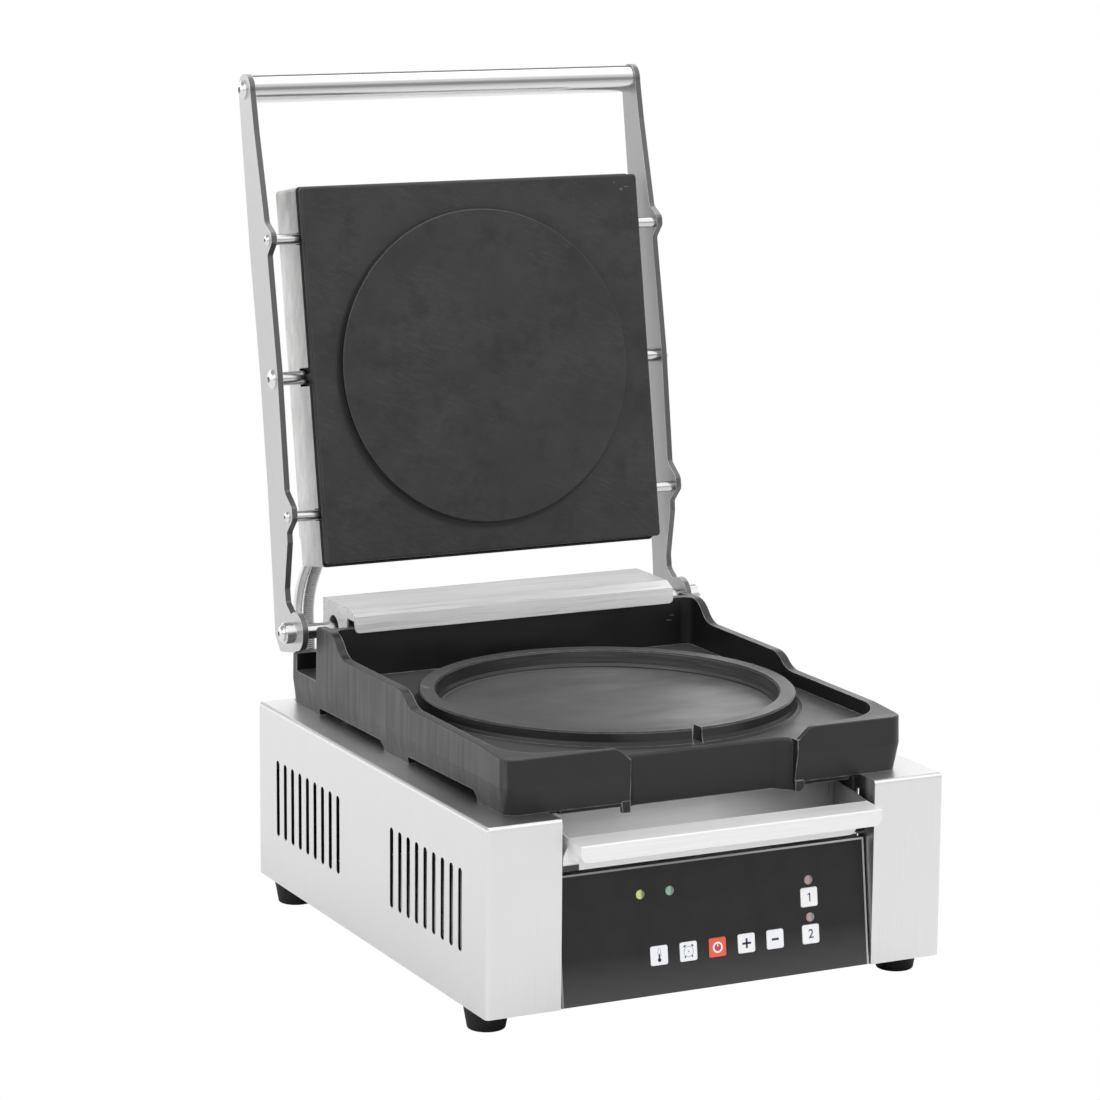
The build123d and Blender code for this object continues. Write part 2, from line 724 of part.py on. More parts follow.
# Lid arms: flat bars with two forward bumps for the rods, a round boss at the hinge and a heel
arm_front = [
    (351.5, -11.3),
    (326.0, -9.7),
    (266.0, -3.0),
    (258.0, 6.8),
    (252.0, 6.8),
    (244.5, -2.2),
    (168.0, 0.2),
    (91.5, -2.2),
    (81.0, 7.9),
    (73.0, 7.9),
    (65.0, -2.9),
    (58.0, -3.4),
    (28.0, -13.8),
    (19.0, -13.8),
]
arm_rear = [
    (-13.4, -4.4),
    (-13.4, -29.0),
    (-2.3, -36.0),
    (27.0, -34.0),
    (93.0, -30.8),
    (168.0, -29.6),
    (250.0, -31.8),
    (352.0, -31.3),
]
for side, label in ((-1, "left_arm"), (1, "right_arm")):
    with BuildPart() as arm:
        inner_x = side * arm_in
        with BuildSketch(arm_level(inner_x)):
            with BuildLine():
                Polyline(*arm_front, (11.5, -6.0), (-4.0, 9.6), (-9.5, 3.3), *arm_rear)
                ThreePointArc(
                    arm_rear[-1],
                    (handle_along + 10.0, handle_off),
                    arm_front[0],
                )
            make_face()
        extrude(amount=side * arm_t)
        soft = []
        for along, off in arm_front[2:] + [arm_rear[1], arm_rear[2], arm_rear[3]]:
            y, z = tilted(along, off)[1:]
            for e in arm.edges().filter_by(Axis.X):
                c = e.center()
                if hypot(c.Y - y, c.Z - z) < 0.5:
                    soft.append(e)
        fillet(soft, 3.4)
        with BuildSketch(arm_level(inner_x)):
            with Locations((0.3, -0.5)):
                Circle(12.7)
        extrude(amount=side * arm_t)
        with BuildSketch(arm_level(inner_x - side)):
            Circle(shaft_r + run_gap)
            for along, off, r in (
                (handle_along, handle_off, 2.6),
                (plate_along + rod_along, rod_off, 2.1),
                (plate_along - rod_along, rod_off, 2.1),
                (plate_along, pivot_off, 2.6),
            ):
                with Locations((along, off)):
                    Circle(r)
        extrude(amount=side * (arm_t + 2), mode=Mode.SUBTRACT)
    save(arm.part, label)

# Handle tube between the arms, its two end plugs and screws
with BuildPart() as handle_tube:
    with BuildSketch(Plane(origin=tilted(handle_along, handle_off, -arm_in), z_dir=(1, 0, 0))):
        Circle(handle_r)
        Circle(handle_r - 1.5, mode=Mode.SUBTRACT)
    extrude(amount=2 * arm_in)
save(handle_tube.part, "handle_tube")

with BuildPart() as handle_plugs:
    for side in (-1, 1):
        with BuildSketch(Plane(origin=tilted(handle_along, handle_off, side * arm_in), z_dir=(-side, 0, 0))):
            Circle(handle_r - 1.5)
            Circle(2.6, mode=Mode.SUBTRACT)
        extrude(amount=14)
save(handle_plugs.part, "handle_plugs")

screw_set(
    [(tilted(handle_along, handle_off, side * arm_out), side) for side in (-1, 1)],
    6.0, 3.4, 2.5, 14.0, "handle_screws",
)

# Pivot pins of the upper plate, the four rods that limit its tilt, and their screws
with BuildPart() as pivot_pins:
    for side in (-1, 1):
        with BuildSketch(Plane(origin=tilted(plate_along, pivot_off, side * arm_in), z_dir=(-side, 0, 0))):
            Circle(pivot_r)
        extrude(amount=arm_in - pivot_tip)
        with BuildSketch(Plane(origin=tilted(plate_along, pivot_off, side * (arm_in + 1)), z_dir=(-side, 0, 0))):
            Circle(2.6)
        extrude(amount=13, mode=Mode.SUBTRACT)
save(pivot_pins.part, "pivot_pins")

with BuildPart() as tilt_rods:
    for side in (-1, 1):
        for along in (plate_along - rod_along, plate_along + rod_along):
            with BuildSketch(Plane(origin=tilted(along, rod_off, side * arm_in), z_dir=(-side, 0, 0))):
                Circle(rod_r)
            extrude(amount=arm_in - rod_tip)
            with BuildSketch(Plane(origin=tilted(along, rod_off, side * (arm_in + 1)), z_dir=(-side, 0, 0))):
                Circle(2.1)
            extrude(amount=11, mode=Mode.SUBTRACT)
save(tilt_rods.part, "tilt_rods")

screw_set(
    [(tilted(plate_along, pivot_off, side * arm_out), side) for side in (-1, 1)],
    6.3, 3.0, 2.5, 14.0, "pivot_screws",
)
screw_set(
    [
        (tilted(plate_along + step, rod_off, side * arm_out), side)
        for side in (-1, 1)
        for step in (-rod_along, rod_along)
    ],
    3.7, 2.2, 2.0, 12.0, "rod_screws",
)

# Upper plate: a cast square with a raised disc, a rebate behind, and two lugs on the pivot pins
pivot_back = pivot_off - plate_front
rod_back = rod_off - plate_front
lug_in = pivot_tip + 1.5
lug_out = pivot_tip + 10.8
with BuildPart() as upper_plate:
    with BuildSketch(plate_level(-plate_t)):
        RectangleRounded(2 * plate_half, 2 * plate_half, 2.5)
    extrude(amount=plate_t)
    fillet(upper_plate.faces().sort_by(Axis.Y)[0].edges(), 1.8)
    with BuildSketch(plate_level(-0.5)):
        Circle(disc_r)
    extrude(amount=disc_h + 0.5)
    front_ring = [
        e for e in upper_plate.edges().filter_by(GeomType.CIRCLE) if abs(e.radius - disc_r) < 0.01
    ]
    chamfer(sorted(front_ring, key=lambda e: e.center().Y)[0], 0.5)
    with BuildSketch(plate_level(housing_front)):
        RectangleRounded(2 * rebate_half, 2 * rebate_half, 4)
    extrude(amount=-housing_front - plate_t)
    # ribs behind, round the heater
    with BuildSketch(plate_level(housing_front - 8.0)):
        Rectangle(2 * rebate_half - 6, 2 * rebate_half - 6)
        Rectangle(2 * rebate_half - 16, 2 * rebate_half - 16, mode=Mode.SUBTRACT)
    extrude(amount=8.0)
    for side in (-1, 1):
        lug_face = tilted(plate_along, pivot_off, side * lug_in)
        with BuildSketch(Plane(origin=lug_face, x_dir=lid_up, z_dir=(side, 0, 0))):
            Circle(8.5)
            with Locations((0, side * (housing_front - 4 - pivot_back) / 2)):
                Rectangle(17, housing_front - 4 - pivot_back)
        extrude(amount=lug_out - lug_in)
        bore_start = tilted(plate_along, pivot_off, side * (lug_in - 6))
        with BuildSketch(Plane(origin=bore_start, x_dir=lid_up, z_dir=(side, 0, 0))):
            Circle(pivot_r + run_gap)
        extrude(amount=lug_out - lug_in + 12, mode=Mode.SUBTRACT)
print("plate", round(upper_plate.part.volume), len(upper_plate.part.solids()), upper_plate.part.is_valid)
save(upper_plate.part, "upper_plate")

# Tubular heater on the plate's back, with two legs to the wiring side
with BuildPart() as upper_heater:
    heat_off = housing_front - heat_r
    ring_c = tilted(plate_along, plate_front + heat_off)
    loop_start = tilted(plate_along - loop_r, plate_front + heat_off)
    with BuildSketch(Plane(origin=loop_start, x_dir=lid_up, z_dir=(1, 0, 0))):
        Circle(heat_r)
    revolve(axis=Axis(ring_c, lid_forward))
    for side in (-1, 1):
        leg = tilted(plate_along - 98, plate_front + heat_off, side * gap)
        with BuildSketch(Plane(origin=leg, x_dir=(1, 0, 0), z_dir=lid_up)):
            Circle(heat_r)
        extrude(amount=98 - loop_r)
save(upper_heater.part, "upper_heater")

with BuildPart() as upper_insulation:
    with BuildSketch(plate_level(housing_back + housing_sheet)):
        Rectangle(2 * plate_half - 68.2, 2 * plate_half - 68.2)
    extrude(amount=20.0)
save(upper_insulation.part, "upper_insulation")

# Posts that hold the housing on the plate, and their screws at the back
post_reach = plate_half - 26.1
post_places = [(sx * post_reach, sy * post_reach) for sx in (-1, 1) for sy in (-1, 1)]
with BuildPart() as housing_posts:
    with BuildSketch(plate_level(housing_front)):
        with Locations(*post_places):
            RegularPolygon(5.0, 6)
            Circle(2.1, mode=Mode.SUBTRACT)
    extrude(amount=housing_back + housing_sheet - housing_front)
save(housing_posts.part, "housing_posts")

with BuildPart() as housing_screws:
    with BuildSketch(plate_level(housing_back)):
        with Locations(*post_places):
            Circle(4.0)
    extrude(amount=-2.4)
    chamfer(housing_screws.faces().sort_by(Axis.Y)[-4:].edges(), 0.7)
    with BuildSketch(plate_level(housing_back)):
        with Locations(*post_places):
            Circle(2.0)
    extrude(amount=12.0)
save(housing_screws.part, "housing_screws")

# Sheet housing behind the plate, with slots in its sides for the rods and the pivot pins
with BuildPart() as upper_housing:
    mid = (housing_up - housing_down) / 2
    tall = housing_up + housing_down
    with BuildSketch(plate_level(housing_back)):
        with Locations((0, mid)):
            RectangleRounded(2 * housing_half, tall, 3.0)
    extrude(amount=housing_front - housing_back)
    chamfer(upper_housing.faces().sort_by(Axis.Y)[-1].edges(), 1.0)
    with BuildSketch(plate_level(housing_back + housing_sheet)):
        with Locations((0, mid)):
            RectangleRounded(2 * (housing_half - housing_sheet), tall - 2 * housing_sheet, 1.9)
    extrude(amount=60, mode=Mode.SUBTRACT)
    with BuildSketch(plate_level(housing_back - 1)):
        with Locations(*post_places):
            Circle(2.1)
    extrude(amount=housing_sheet + 2, mode=Mode.SUBTRACT)
    top_slot = rod_back - rod_r - 0.1
    low_slot = rod_back - rod_r - tilt_play
    for along, end, high in (
        (rod_along, top_slot, 2 * rod_r + 1.0),
        (-rod_along, low_slot, 2 * rod_r + 1.0),
        (0.0, pivot_back - pivot_r - 0.7, 12.0),
    ):
        depth = housing_front - end + 6
        for side in (-1, 1):
            slot_face = tilted(plate_along + along, plate_front, side * (housing_half + 2))
            with BuildSketch(Plane(origin=slot_face, x_dir=lid_up, z_dir=(side, 0, 0))):
                with Locations((0, side * (end + depth / 2))):
                    Rectangle(high, depth)
            extrude(amount=-6, mode=Mode.SUBTRACT)
print("housing", round(upper_housing.part.volume), len(upper_housing.part.solids()), upper_housing.part.is_valid)
save(upper_housing.part, "upper_housing")

# Rear cover over the hinge, bent from one sheet, open below
cover_foot = deck_z + rear_top + 0.05
cover_outline = [
    (casting_y(105.6), deck_z + 56.0),
    (casting_y(106.6), deck_z + 66.2),
    (casting_y(114.6), deck_z + 70.0),
    (casting_y(158.4), deck_z + 70.0),
    (casting_y(158.4), cover_foot + cover_sheet),
    (casting_y(164.2), cover_foot + cover_sheet),
    (casting_y(164.2), cover_foot),
    (casting_y(157.2), cover_foot),
]
with BuildPart() as rear_cover:
    with BuildSketch(side_sketch_plane(-cover_half)) as bend:
        with BuildLine():
            Polyline(
                *cover_outline,
                (casting_y(157.2), deck_z + 70.0 - cover_sheet),
                (casting_y(114.9), deck_z + 70.0 - cover_sheet),
                (casting_y(107.75), deck_z + 65.4),
                (casting_y(106.8), deck_z + 56.0),
                close=True,
            )
        make_face()
        for y, z, r in (
            (158.4, 70.0, 3.0),
            (157.2, 70.0 - cover_sheet, 1.8),
            (114.6, 70.0, 2.4),
            (114.9, 70.0 - cover_sheet, 1.2),
            (106.6, 66.2, 1.8),
            (107.75, 65.4, 0.6),
        ):
            fillet(
                bend.vertices().filter_by(lambda v: hypot(v.Y - casting_y(y), v.Z - deck_z - z) < 0.01),
                r,
            )
    extrude(amount=2 * cover_half)
    # the flange's lower corners are rounded
    corners = [
        e
        for e in rear_cover.edges().filter_by(GeomType.LINE)
        if e.center().Z < deck_z + 56.5
        and e.center().Y < casting_y(108)
        and abs(abs(e.center().X) - cover_half) < 0.1
    ]
    fillet(corners, 3.2)
    # end plates: cut away in front for the casting's back wall, with an arch over the shaft
    for side in (-1, 1):
        with BuildSketch(side_sketch_plane(side * cover_half)):
            with BuildLine():
                Polyline(
                    (casting_y(107.8), deck_z + 63.4),
                    (casting_y(107.8), deck_z + 65.8),
                    (casting_y(114.9), deck_z + 69.2),
                    (casting_y(155.6), deck_z + 69.4),
                    (casting_y(157.8), deck_z + 67.2),
                    (casting_y(157.8), cover_foot + 0.2),
                    (hinge_y + 8.0, cover_foot + 0.2),
                    (hinge_y + 8.0, hinge_z + 1.0),
                )
                ThreePointArc(
                    (hinge_y + 8.0, hinge_z + 1.0),
                    (hinge_y, hinge_z + 9.0),
                    (hinge_y - 8.0, hinge_z + 1.0),
                )
                Polyline(
                    (hinge_y - 8.0, hinge_z + 1.0),
                    (hinge_y - 8.0, cover_foot + 0.2),
                    (casting_y(119.0), cover_foot + 0.2),
                    (casting_y(119.0), deck_z + 63.4),
                    (casting_y(107.8), deck_z + 63.4),
                )
            make_face()
        extrude(amount=-side * cover_sheet)
print("cover", round(rear_cover.part.volume), len(rear_cover.part.solids()), rear_cover.part.is_valid)
save(rear_cover.part, "rear_cover")

with BuildPart() as cover_screws:
    for side in (-1, 1):
        with Locations((side * 60.0, casting_y(161.3), cover_foot + cover_sheet + 1.0)):
            Cylinder(2.4, 2.0)
save(cover_screws.part, "cover_screws")

# Drip tray: a short trough under the spout with a folded front lip
with BuildPart() as drip_tray:
    # floor and back wall
    with BuildSketch(Plane.XY.offset(tray_low)):
        with Locations((0, (tray_wall + tray_back) / 2)):
            Rectangle(2 * tray_half, tray_back - tray_wall)
    extrude(amount=tray_sheet)
    with BuildSketch(Plane(origin=(0, tray_back, 0), x_dir=(1, 0, 0), z_dir=(0, -1, 0))):
        with Locations((0, (tray_low + tray_rear_z) / 2)):
            Rectangle(2 * tray_half, tray_rear_z - tray_low)
    extrude(amount=tray_sheet)
    # side walls, lower towards the front
    for side in (-1, 1):
        with BuildSketch(side_sketch_plane(side * tray_half)):
            with BuildLine():
                Polyline(
                    (tray_wall, tray_low),
                    (tray_wall, tray_lip_z + 0.9),
                    (casting_y(-140), tray_rear_z),
                    (tray_back, tray_rear_z),
                    (tray_back, tray_low),
                    close=True,
                )
            make_face()
        extrude(amount=-side * tray_sheet)
        # cheek that closes the end of the lip
        with BuildSketch(side_sketch_plane(side * tray_half)):
            with BuildLine():
                Polyline(
                    (tray_front + 1.2, tray_lip_z),
                    (tray_front + 0.35, tray_lip_z - 0.35),
                    (tray_front, tray_lip_z - 1.2),
                    (tray_front, tray_lip_z - 7.0),
                    (tray_front + 3.0, tray_lip_z - 10.2),
                    (tray_wall, tray_lip_z - 11.0),
                    (tray_wall, tray_lip_z + 0.9),
                    close=True,
                )
            make_face()
        extrude(amount=-side * tray_sheet)
    # front apron below the lip: square at the left, cut away and rounded at the right
    with BuildSketch(Plane(origin=(0, tray_wall, 0), x_dir=(1, 0, 0), z_dir=(0, -1, 0))):
        with BuildLine():
            Polyline(
                (tray_half - 7.5, tray_low + 6.0),
                (tray_half - 7.5, tray_lip_z - 9.0),
                (tray_half, tray_lip_z - 9.0),
                (tray_half, tray_lip_z + 0.9),
                (-tray_half, tray_lip_z + 0.9),
                (-tray_half, tray_lip_z - 4.0),
                (-tray_half - 3.0, tray_lip_z - 10.0),
                (-tray_half - 3.4, tray_low),
                (tray_half - 13.5, tray_low),
            )
            ThreePointArc(
                (tray_half - 13.5, tray_low),
                (tray_half - 9.26, tray_low + 1.76),
                (tray_half - 7.5, tray_low + 6.0),
            )
        make_face()
    extrude(amount=tray_sheet)
    # lip and front flange
    with BuildSketch(side_sketch_plane(-tray_half)):
        with BuildLine():
            Polyline(
                (tray_wall + 0.2, tray_lip_z + 0.9),
                (tray_wall + 0.2, tray_lip_z + 0.9 - tray_sheet),
                (tray_front + tray_sheet, tray_lip_z - tray_sheet),
                (tray_front + tray_sheet, tray_lip_z - 10.2),
                (tray_front, tray_lip_z - 10.2),
                (tray_front, tray_lip_z - 1.2),
            )
            ThreePointArc(
                (tray_front, tray_lip_z - 1.2),
                (tray_front + 0.35, tray_lip_z - 0.35),
                (tray_front + 1.2, tray_lip_z),
            )
            Line((tray_front + 1.2, tray_lip_z), (tray_wall + 0.2, tray_lip_z + 0.9))
        make_face()
    extrude(amount=2 * tray_half)
    # the flange's lower corners are rounded
    for side in (-1, 1):
        with BuildSketch(Plane(origin=(0, tray_front - 1, 0), x_dir=(1, 0, 0), z_dir=(0, -1, 0))):
            with BuildLine():
                low = tray_lip_z - 10.2
                Polyline(
                    (side * (tray_half - 5), low),
                    (side * (tray_half - 5), low - 1),
                    (side * (tray_half + 1), low - 1),
                    (side * (tray_half + 1), low + 5),
                    (side * tray_half, low + 5),
                )
                ThreePointArc(
                    (side * tray_half, low + 5),
                    (side * (tray_half - 1.46), low + 1.46),
                    (side * (tray_half - 5), low),
                )
            make_face()
        extrude(amount=-5, mode=Mode.SUBTRACT)
print("tray", round(drip_tray.part.volume), len(drip_tray.part.solids()), drip_tray.part.is_valid)
save(drip_tray.part, "drip_tray")

# Two runners under the deck that carry the tray
runner_gap = 0.6
runner_t = 1.5
with BuildPart() as tray_runners:
    for side in (-1, 1):
        inner = tray_half + runner_gap
        with BuildSketch(Plane(origin=(0, casting_y(-153), 0), x_dir=(1, 0, 0), z_dir=(0, -1, 0))):
            with BuildLine():
                Polyline(
                    (side * (inner + 16), deck_z - sheet),
                    (side * (inner + 16), deck_z - sheet - runner_t),
                    (side * (inner + runner_t), deck_z - sheet - runner_t),
                    (side * (inner + runner_t), tray_low - 0.3 - runner_t),
                    (side * (inner - 9), tray_low - 0.3 - runner_t),
                    (side * (inner - 9), tray_low - 0.3),
                    (side * inner, tray_low - 0.3),
                    (side * inner, deck_z - sheet),
                    close=True,
                )
            make_face()
        extrude(amount=-(tray_back + 9 - casting_y(-153)))
print("runners", len(tray_runners.part.solids()))
save(tray_runners.part, "tray_runners")


# Control panel: a leaning metal bracket, a black overlay, seven keys and four lights
def on_panel(x, up, out=0.0):
    """A point on the panel's face: x to the right, up along the panel, out in front of it."""
    return (
        x,
        panel_bottom_y + up * panel_up[1] + out * panel_out[1],
        panel_bottom_z + up * panel_up[2] + out * panel_out[2],
    )


key_hole = key_w + 2 * key_gap
overlay_back = -overlay_t
bracket_back = overlay_back - panel_sheet
every_light = [place for places in light_places.values() for place in places]
with BuildPart() as panel_bracket:
    with BuildSketch(panel_plane.offset(bracket_back)):
        with Locations((0, panel_h / 2)):
            Rectangle(2 * panel_half, panel_h)
    extrude(amount=-bracket_back)
    with BuildSketch(panel_plane.offset(overlay_back)):
        with Locations((0, (panel_h - overlay_rim) / 2)):
            Rectangle(2 * (panel_half - overlay_rim), panel_h - overlay_rim)
    extrude(amount=10, mode=Mode.SUBTRACT)
    # side cheeks and a top return, bent backward
    for side in (-1, 1):
        with BuildSketch(panel_plane.offset(bracket_back)):
            with Locations((side * (panel_half - panel_sheet / 2), panel_h / 2 + 2.5)):
                Rectangle(panel_sheet, panel_h - 5.0)
        extrude(amount=-14)
    with BuildSketch(panel_plane.offset(bracket_back)):
        with Locations((0, panel_h - panel_sheet / 2)):
            Rectangle(2 * panel_half, panel_sheet)
    extrude(amount=-10)
    # foot that stands on the bottom pan
    with Locations((0, (casting_y(-171.9) + casting_y(-154.0)) / 2, base_z + sheet + panel_sheet / 2)):
        Box(2 * panel_half - 10, casting_y(-154.0) - casting_y(-171.9), panel_sheet)
    with BuildSketch(panel_plane.offset(-30)):
        with Locations(*key_places.values()):
            RectangleRounded(8.6, 8.6, 1.5)
        with Locations(*every_light):
            Circle(light_r - 0.5)
    extrude(amount=40, mode=Mode.SUBTRACT)
print("bracket", len(panel_bracket.part.solids()), panel_bracket.part.is_valid)
save(panel_bracket.part, "panel_bracket")

with BuildPart() as panel_overlay:
    with BuildSketch(panel_plane.offset(overlay_back)):
        with Locations((0, (panel_h - overlay_rim) / 2)):
            Rectangle(2 * (panel_half - overlay_rim) - 0.1, panel_h - overlay_rim - 0.1)
        with Locations(*key_places.values()):
            RectangleRounded(key_hole, key_hole, key_corner + key_gap, mode=Mode.SUBTRACT)
        with Locations(*every_light):
            Circle(light_r + 0.05, mode=Mode.SUBTRACT)
    extrude(amount=overlay_t)
save(panel_overlay.part, "panel_overlay")

# Each key is a cap with a stem through the bracket, over its switch on the board
board_front = bracket_back - 7.0
for name, place in key_places.items():
    with BuildPart() as key:
        with BuildSketch(panel_plane.offset(overlay_back + key_travel + 0.15)):
            with Locations(place):
                RectangleRounded(key_w, key_w, key_corner)
        extrude(amount=overlay_t - key_travel - 0.15 + key_rise)
        chamfer(key.faces().sort_by(Axis.Y)[0].edges(), 0.3)
        with BuildSketch(panel_plane.offset(board_front + 3.2 + key_travel + 0.1)):
            with Locations(place):
                RectangleRounded(6.0, 6.0, 1.0)
        extrude(amount=-(board_front + 3.2 + key_travel + 0.1) + overlay_back + key_travel + 0.15 + 0.2)
    save(key.part, name)

for name, places in light_places.items():
    with BuildPart() as light:
        with BuildSketch(panel_plane.offset(overlay_back)):
            with Locations(*places):
                Circle(light_r)
        extrude(amount=overlay_t + 0.3)
        with BuildSketch(panel_plane.offset(board_front)):
            with Locations(*places):
                Circle(light_r - 0.6)
        extrude(amount=-board_front + overlay_back + 0.1)
        rims = [e for e in light.edges().filter_by(GeomType.CIRCLE) if abs(e.radius - light_r) < 0.01]
        front = min(e.center().Y - e.center().Z * tan(p_lean) for e in rims)
        fillet([e for e in rims if e.center().Y - e.center().Z * tan(p_lean) < front + 0.5], 0.9)
    save(light.part, name)

with BuildPart() as control_board:
    with BuildSketch(panel_plane.offset(board_front - 1.6)):
        with Locations((0, panel_h / 2 - 1.4)):
            Rectangle(2 * panel_half - 32, panel_h - 16.8)
    extrude(amount=1.6)
save(control_board.part, "control_board")

with BuildPart() as key_switches:
    with BuildSketch(panel_plane.offset(board_front)):
        with Locations(*key_places.values()):
            Rectangle(6.0, 6.0)
    extrude(amount=3.2)
save(key_switches.part, "key_switches")

with BuildPart() as board_posts:
    with BuildSketch(panel_plane.offset(board_front)):
        corners = [(sx * (panel_half - 21), up) for sx in (-1, 1) for up in (12, panel_h - 14.8)]
        with Locations(*corners):
            RegularPolygon(3.0, 6)
    extrude(amount=bracket_back - board_front)
save(board_posts.part, "board_posts")

# Two flexible conduits from an outlet box on the housing's back down to the deck
route_out = (15.4, 15.4, 9.3, 6.4, 4.1, 1.6, 0.0, 0.0)
outlet_w = conduit_b_x - conduit_a_x + conduit_a_r + conduit_b_r + 2.4
outlet_x = (conduit_a_x + conduit_b_x) / 2 + route_out[0]
outlet_low = 58.0
outlet_high = 74.0
outlet_depth = 10.0
with BuildPart() as conduit_outlet:
    with BuildSketch(plate_level(housing_back - outlet_depth)):
        with Locations((outlet_x, (outlet_low + outlet_high) / 2 - plate_along)):
            RectangleRounded(outlet_w, outlet_high - outlet_low, 2)
    extrude(amount=outlet_depth)
save(conduit_outlet.part, "conduit_outlet")

route_x = {
    "conduit_braided": [conduit_a_x + out for out in route_out],
    "conduit_ribbed": [conduit_b_x + out for out in route_out],
}
mid_off = plate_front + housing_back - outlet_depth / 2
start = tilted(outlet_low - 0.3, mid_off)
below = tilted(outlet_low - 12, mid_off)
drop_z = deck_z + 6.0
turns = [
    (conduit_drop_y + back * (below[1] - conduit_drop_y), drop_z + up * (below[2] - drop_z))
    for back, up in route_turns
]
route_yz = [
    (start[1], start[2]),
    (below[1], below[2]),
    *turns,
    (conduit_drop_y, drop_z),
    (conduit_drop_y, deck_z - 12.0),
]
for (label, xs), outer_r in zip(route_x.items(), (conduit_a_r, conduit_b_r)):
    points = [Vector(x, y, z) for x, (y, z) in zip(xs, route_yz)]
    with BuildPart() as conduit:
        with BuildLine() as path:
            at = points[0]
            radii = []
            for i in range(1, len(points) - 1):
                before = points[i] - points[i - 1]
                after = points[i + 1] - points[i]
                turn = radians(before.get_angle(after))
                short = min(before.length, after.length)
                if turn < 0.004:
                    continue
                reach = 0.45 * short
                first = points[i] - before.normalized() * reach
                last = points[i] + after.normalized() * reach
                radii.append(reach / tan(turn / 2))
                Line(at, first)
                TangentArc(first, last, tangent=before.normalized())
                at = last
            Line(at, points[-1])
        with BuildSketch(Plane(origin=points[0], z_dir=points[1] - points[0])):
            Circle(outer_r)
            Circle(outer_r - conduit_wall, mode=Mode.SUBTRACT)
        sweep(path=path.wires()[0])
    section = pi * (outer_r**2 - (outer_r - conduit_wall) ** 2)
    ratio = conduit.part.volume / section / path.wires()[0].length
    print(label, "radii", [round(r) for r in radii], "volume ratio", round(ratio, 4))
    save(conduit.part, label)

with BuildPart() as conduit_ferrules:
    for xs, outer_r in zip(route_x.values(), (conduit_a_r, conduit_b_r)):
        with Locations((xs[-1], route_yz[-1][0], deck_z - sheet - 3.0)):
            Cylinder(outer_r + 0.5, 6.0)
            Cylinder(outer_r, 6.0, mode=Mode.SUBTRACT)
save(conduit_ferrules.part, "conduit_ferrules")
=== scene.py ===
import bpy
import bmesh
import json
from math import sin, cos, pi, radians
from mathutils import Matrix, Vector


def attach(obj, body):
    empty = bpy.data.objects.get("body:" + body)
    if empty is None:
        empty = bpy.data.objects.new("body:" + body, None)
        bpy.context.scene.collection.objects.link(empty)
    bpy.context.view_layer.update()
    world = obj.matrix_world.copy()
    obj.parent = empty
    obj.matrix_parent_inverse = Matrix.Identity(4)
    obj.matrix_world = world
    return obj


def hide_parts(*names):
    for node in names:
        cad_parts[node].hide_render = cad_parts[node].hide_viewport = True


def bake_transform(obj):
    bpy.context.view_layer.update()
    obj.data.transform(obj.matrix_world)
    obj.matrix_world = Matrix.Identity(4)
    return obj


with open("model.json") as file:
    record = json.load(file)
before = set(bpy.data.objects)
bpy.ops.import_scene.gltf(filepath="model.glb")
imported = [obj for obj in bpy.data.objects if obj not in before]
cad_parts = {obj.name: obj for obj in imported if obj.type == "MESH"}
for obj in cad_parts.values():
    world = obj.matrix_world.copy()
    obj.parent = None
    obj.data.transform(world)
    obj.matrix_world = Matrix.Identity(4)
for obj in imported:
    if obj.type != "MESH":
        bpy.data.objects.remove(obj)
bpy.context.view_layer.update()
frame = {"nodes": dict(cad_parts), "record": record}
nodes = frame["nodes"]
scene = bpy.context.scene

# Dimensions shared with the CAD part, in millimetres
half_w = 155.0
body_y = -21.5
front_y = body_y - 174.1
base_z = 14.0
deck_z = 130.0
cast_half = 135.3
hinge_y = body_y + 140.84
hinge_z = deck_z + 52.31
lean = radians(9.93)
plate_along = 164.6
plate_front = 12.9
housing_back = -46.0
outlet_low = 58.0
outlet_depth = 10.0
panel_bottom_y = body_y - 173.5
panel_bottom_z = base_z + 0.3
panel_lean = radians(7.3)
key_rise = 0.4
ring_y = body_y - 23.5
ring_in = 108.1
disc_r = ring_in - 5.0
tray_wall = body_y - 172.0
tray_half = 102.0
# Edge of the flat well, and the height up to which the corner beside it is hollow
well_r = 104.5
corner_z = deck_z + 30.0


def mm(x, y, z):
    return Vector((x, y, z)) * 0.001


def tilted(along, off, x=0.0):
    """A point on the open lid, in metres: along the arm from the hinge, off forward of it."""
    y = hinge_y + along * sin(lean) - off * cos(lean)
    z = hinge_z + along * cos(lean) + off * sin(lean)
    return mm(x, y, z)


def on_panel(x, up, out):
    """A point on the control panel's face, in metres."""
    y = panel_bottom_y + up * sin(panel_lean) - out * cos(panel_lean)
    z = panel_bottom_z + up * cos(panel_lean) + out * sin(panel_lean)
    return mm(x, y, z)


# Camera at the photograph's place
camera_place = Vector((-1.07336, -2.12256, 0.71309))
azimuth = radians(-26.43)
elevation = radians(11.10)
roll = radians(0.41)
look = Vector((-sin(azimuth) * cos(elevation), cos(azimuth) * cos(elevation), -sin(elevation)))
level_right = look.cross(Vector((0, 0, 1))).normalized()
level_up = level_right.cross(look)
right = cos(roll) * level_right + sin(roll) * level_up
up = -sin(roll) * level_right + cos(roll) * level_up
camera = bpy.data.objects.new("camera", bpy.data.cameras.new("camera"))
scene.collection.objects.link(camera)
camera.data.lens = 125.07
camera.data.sensor_width = 36.0
camera.data.clip_start = 0.1
camera.data.clip_end = 50.0
camera.matrix_world = Matrix(
    (
        (right.x, up.x, -look.x, camera_place.x),
        (right.y, up.y, -look.y, camera_place.y),
        (right.z, up.z, -look.z, camera_place.z),
        (0, 0, 0, 1),
    )
)
scene.camera = camera
scene.view_settings.view_transform = "Standard"


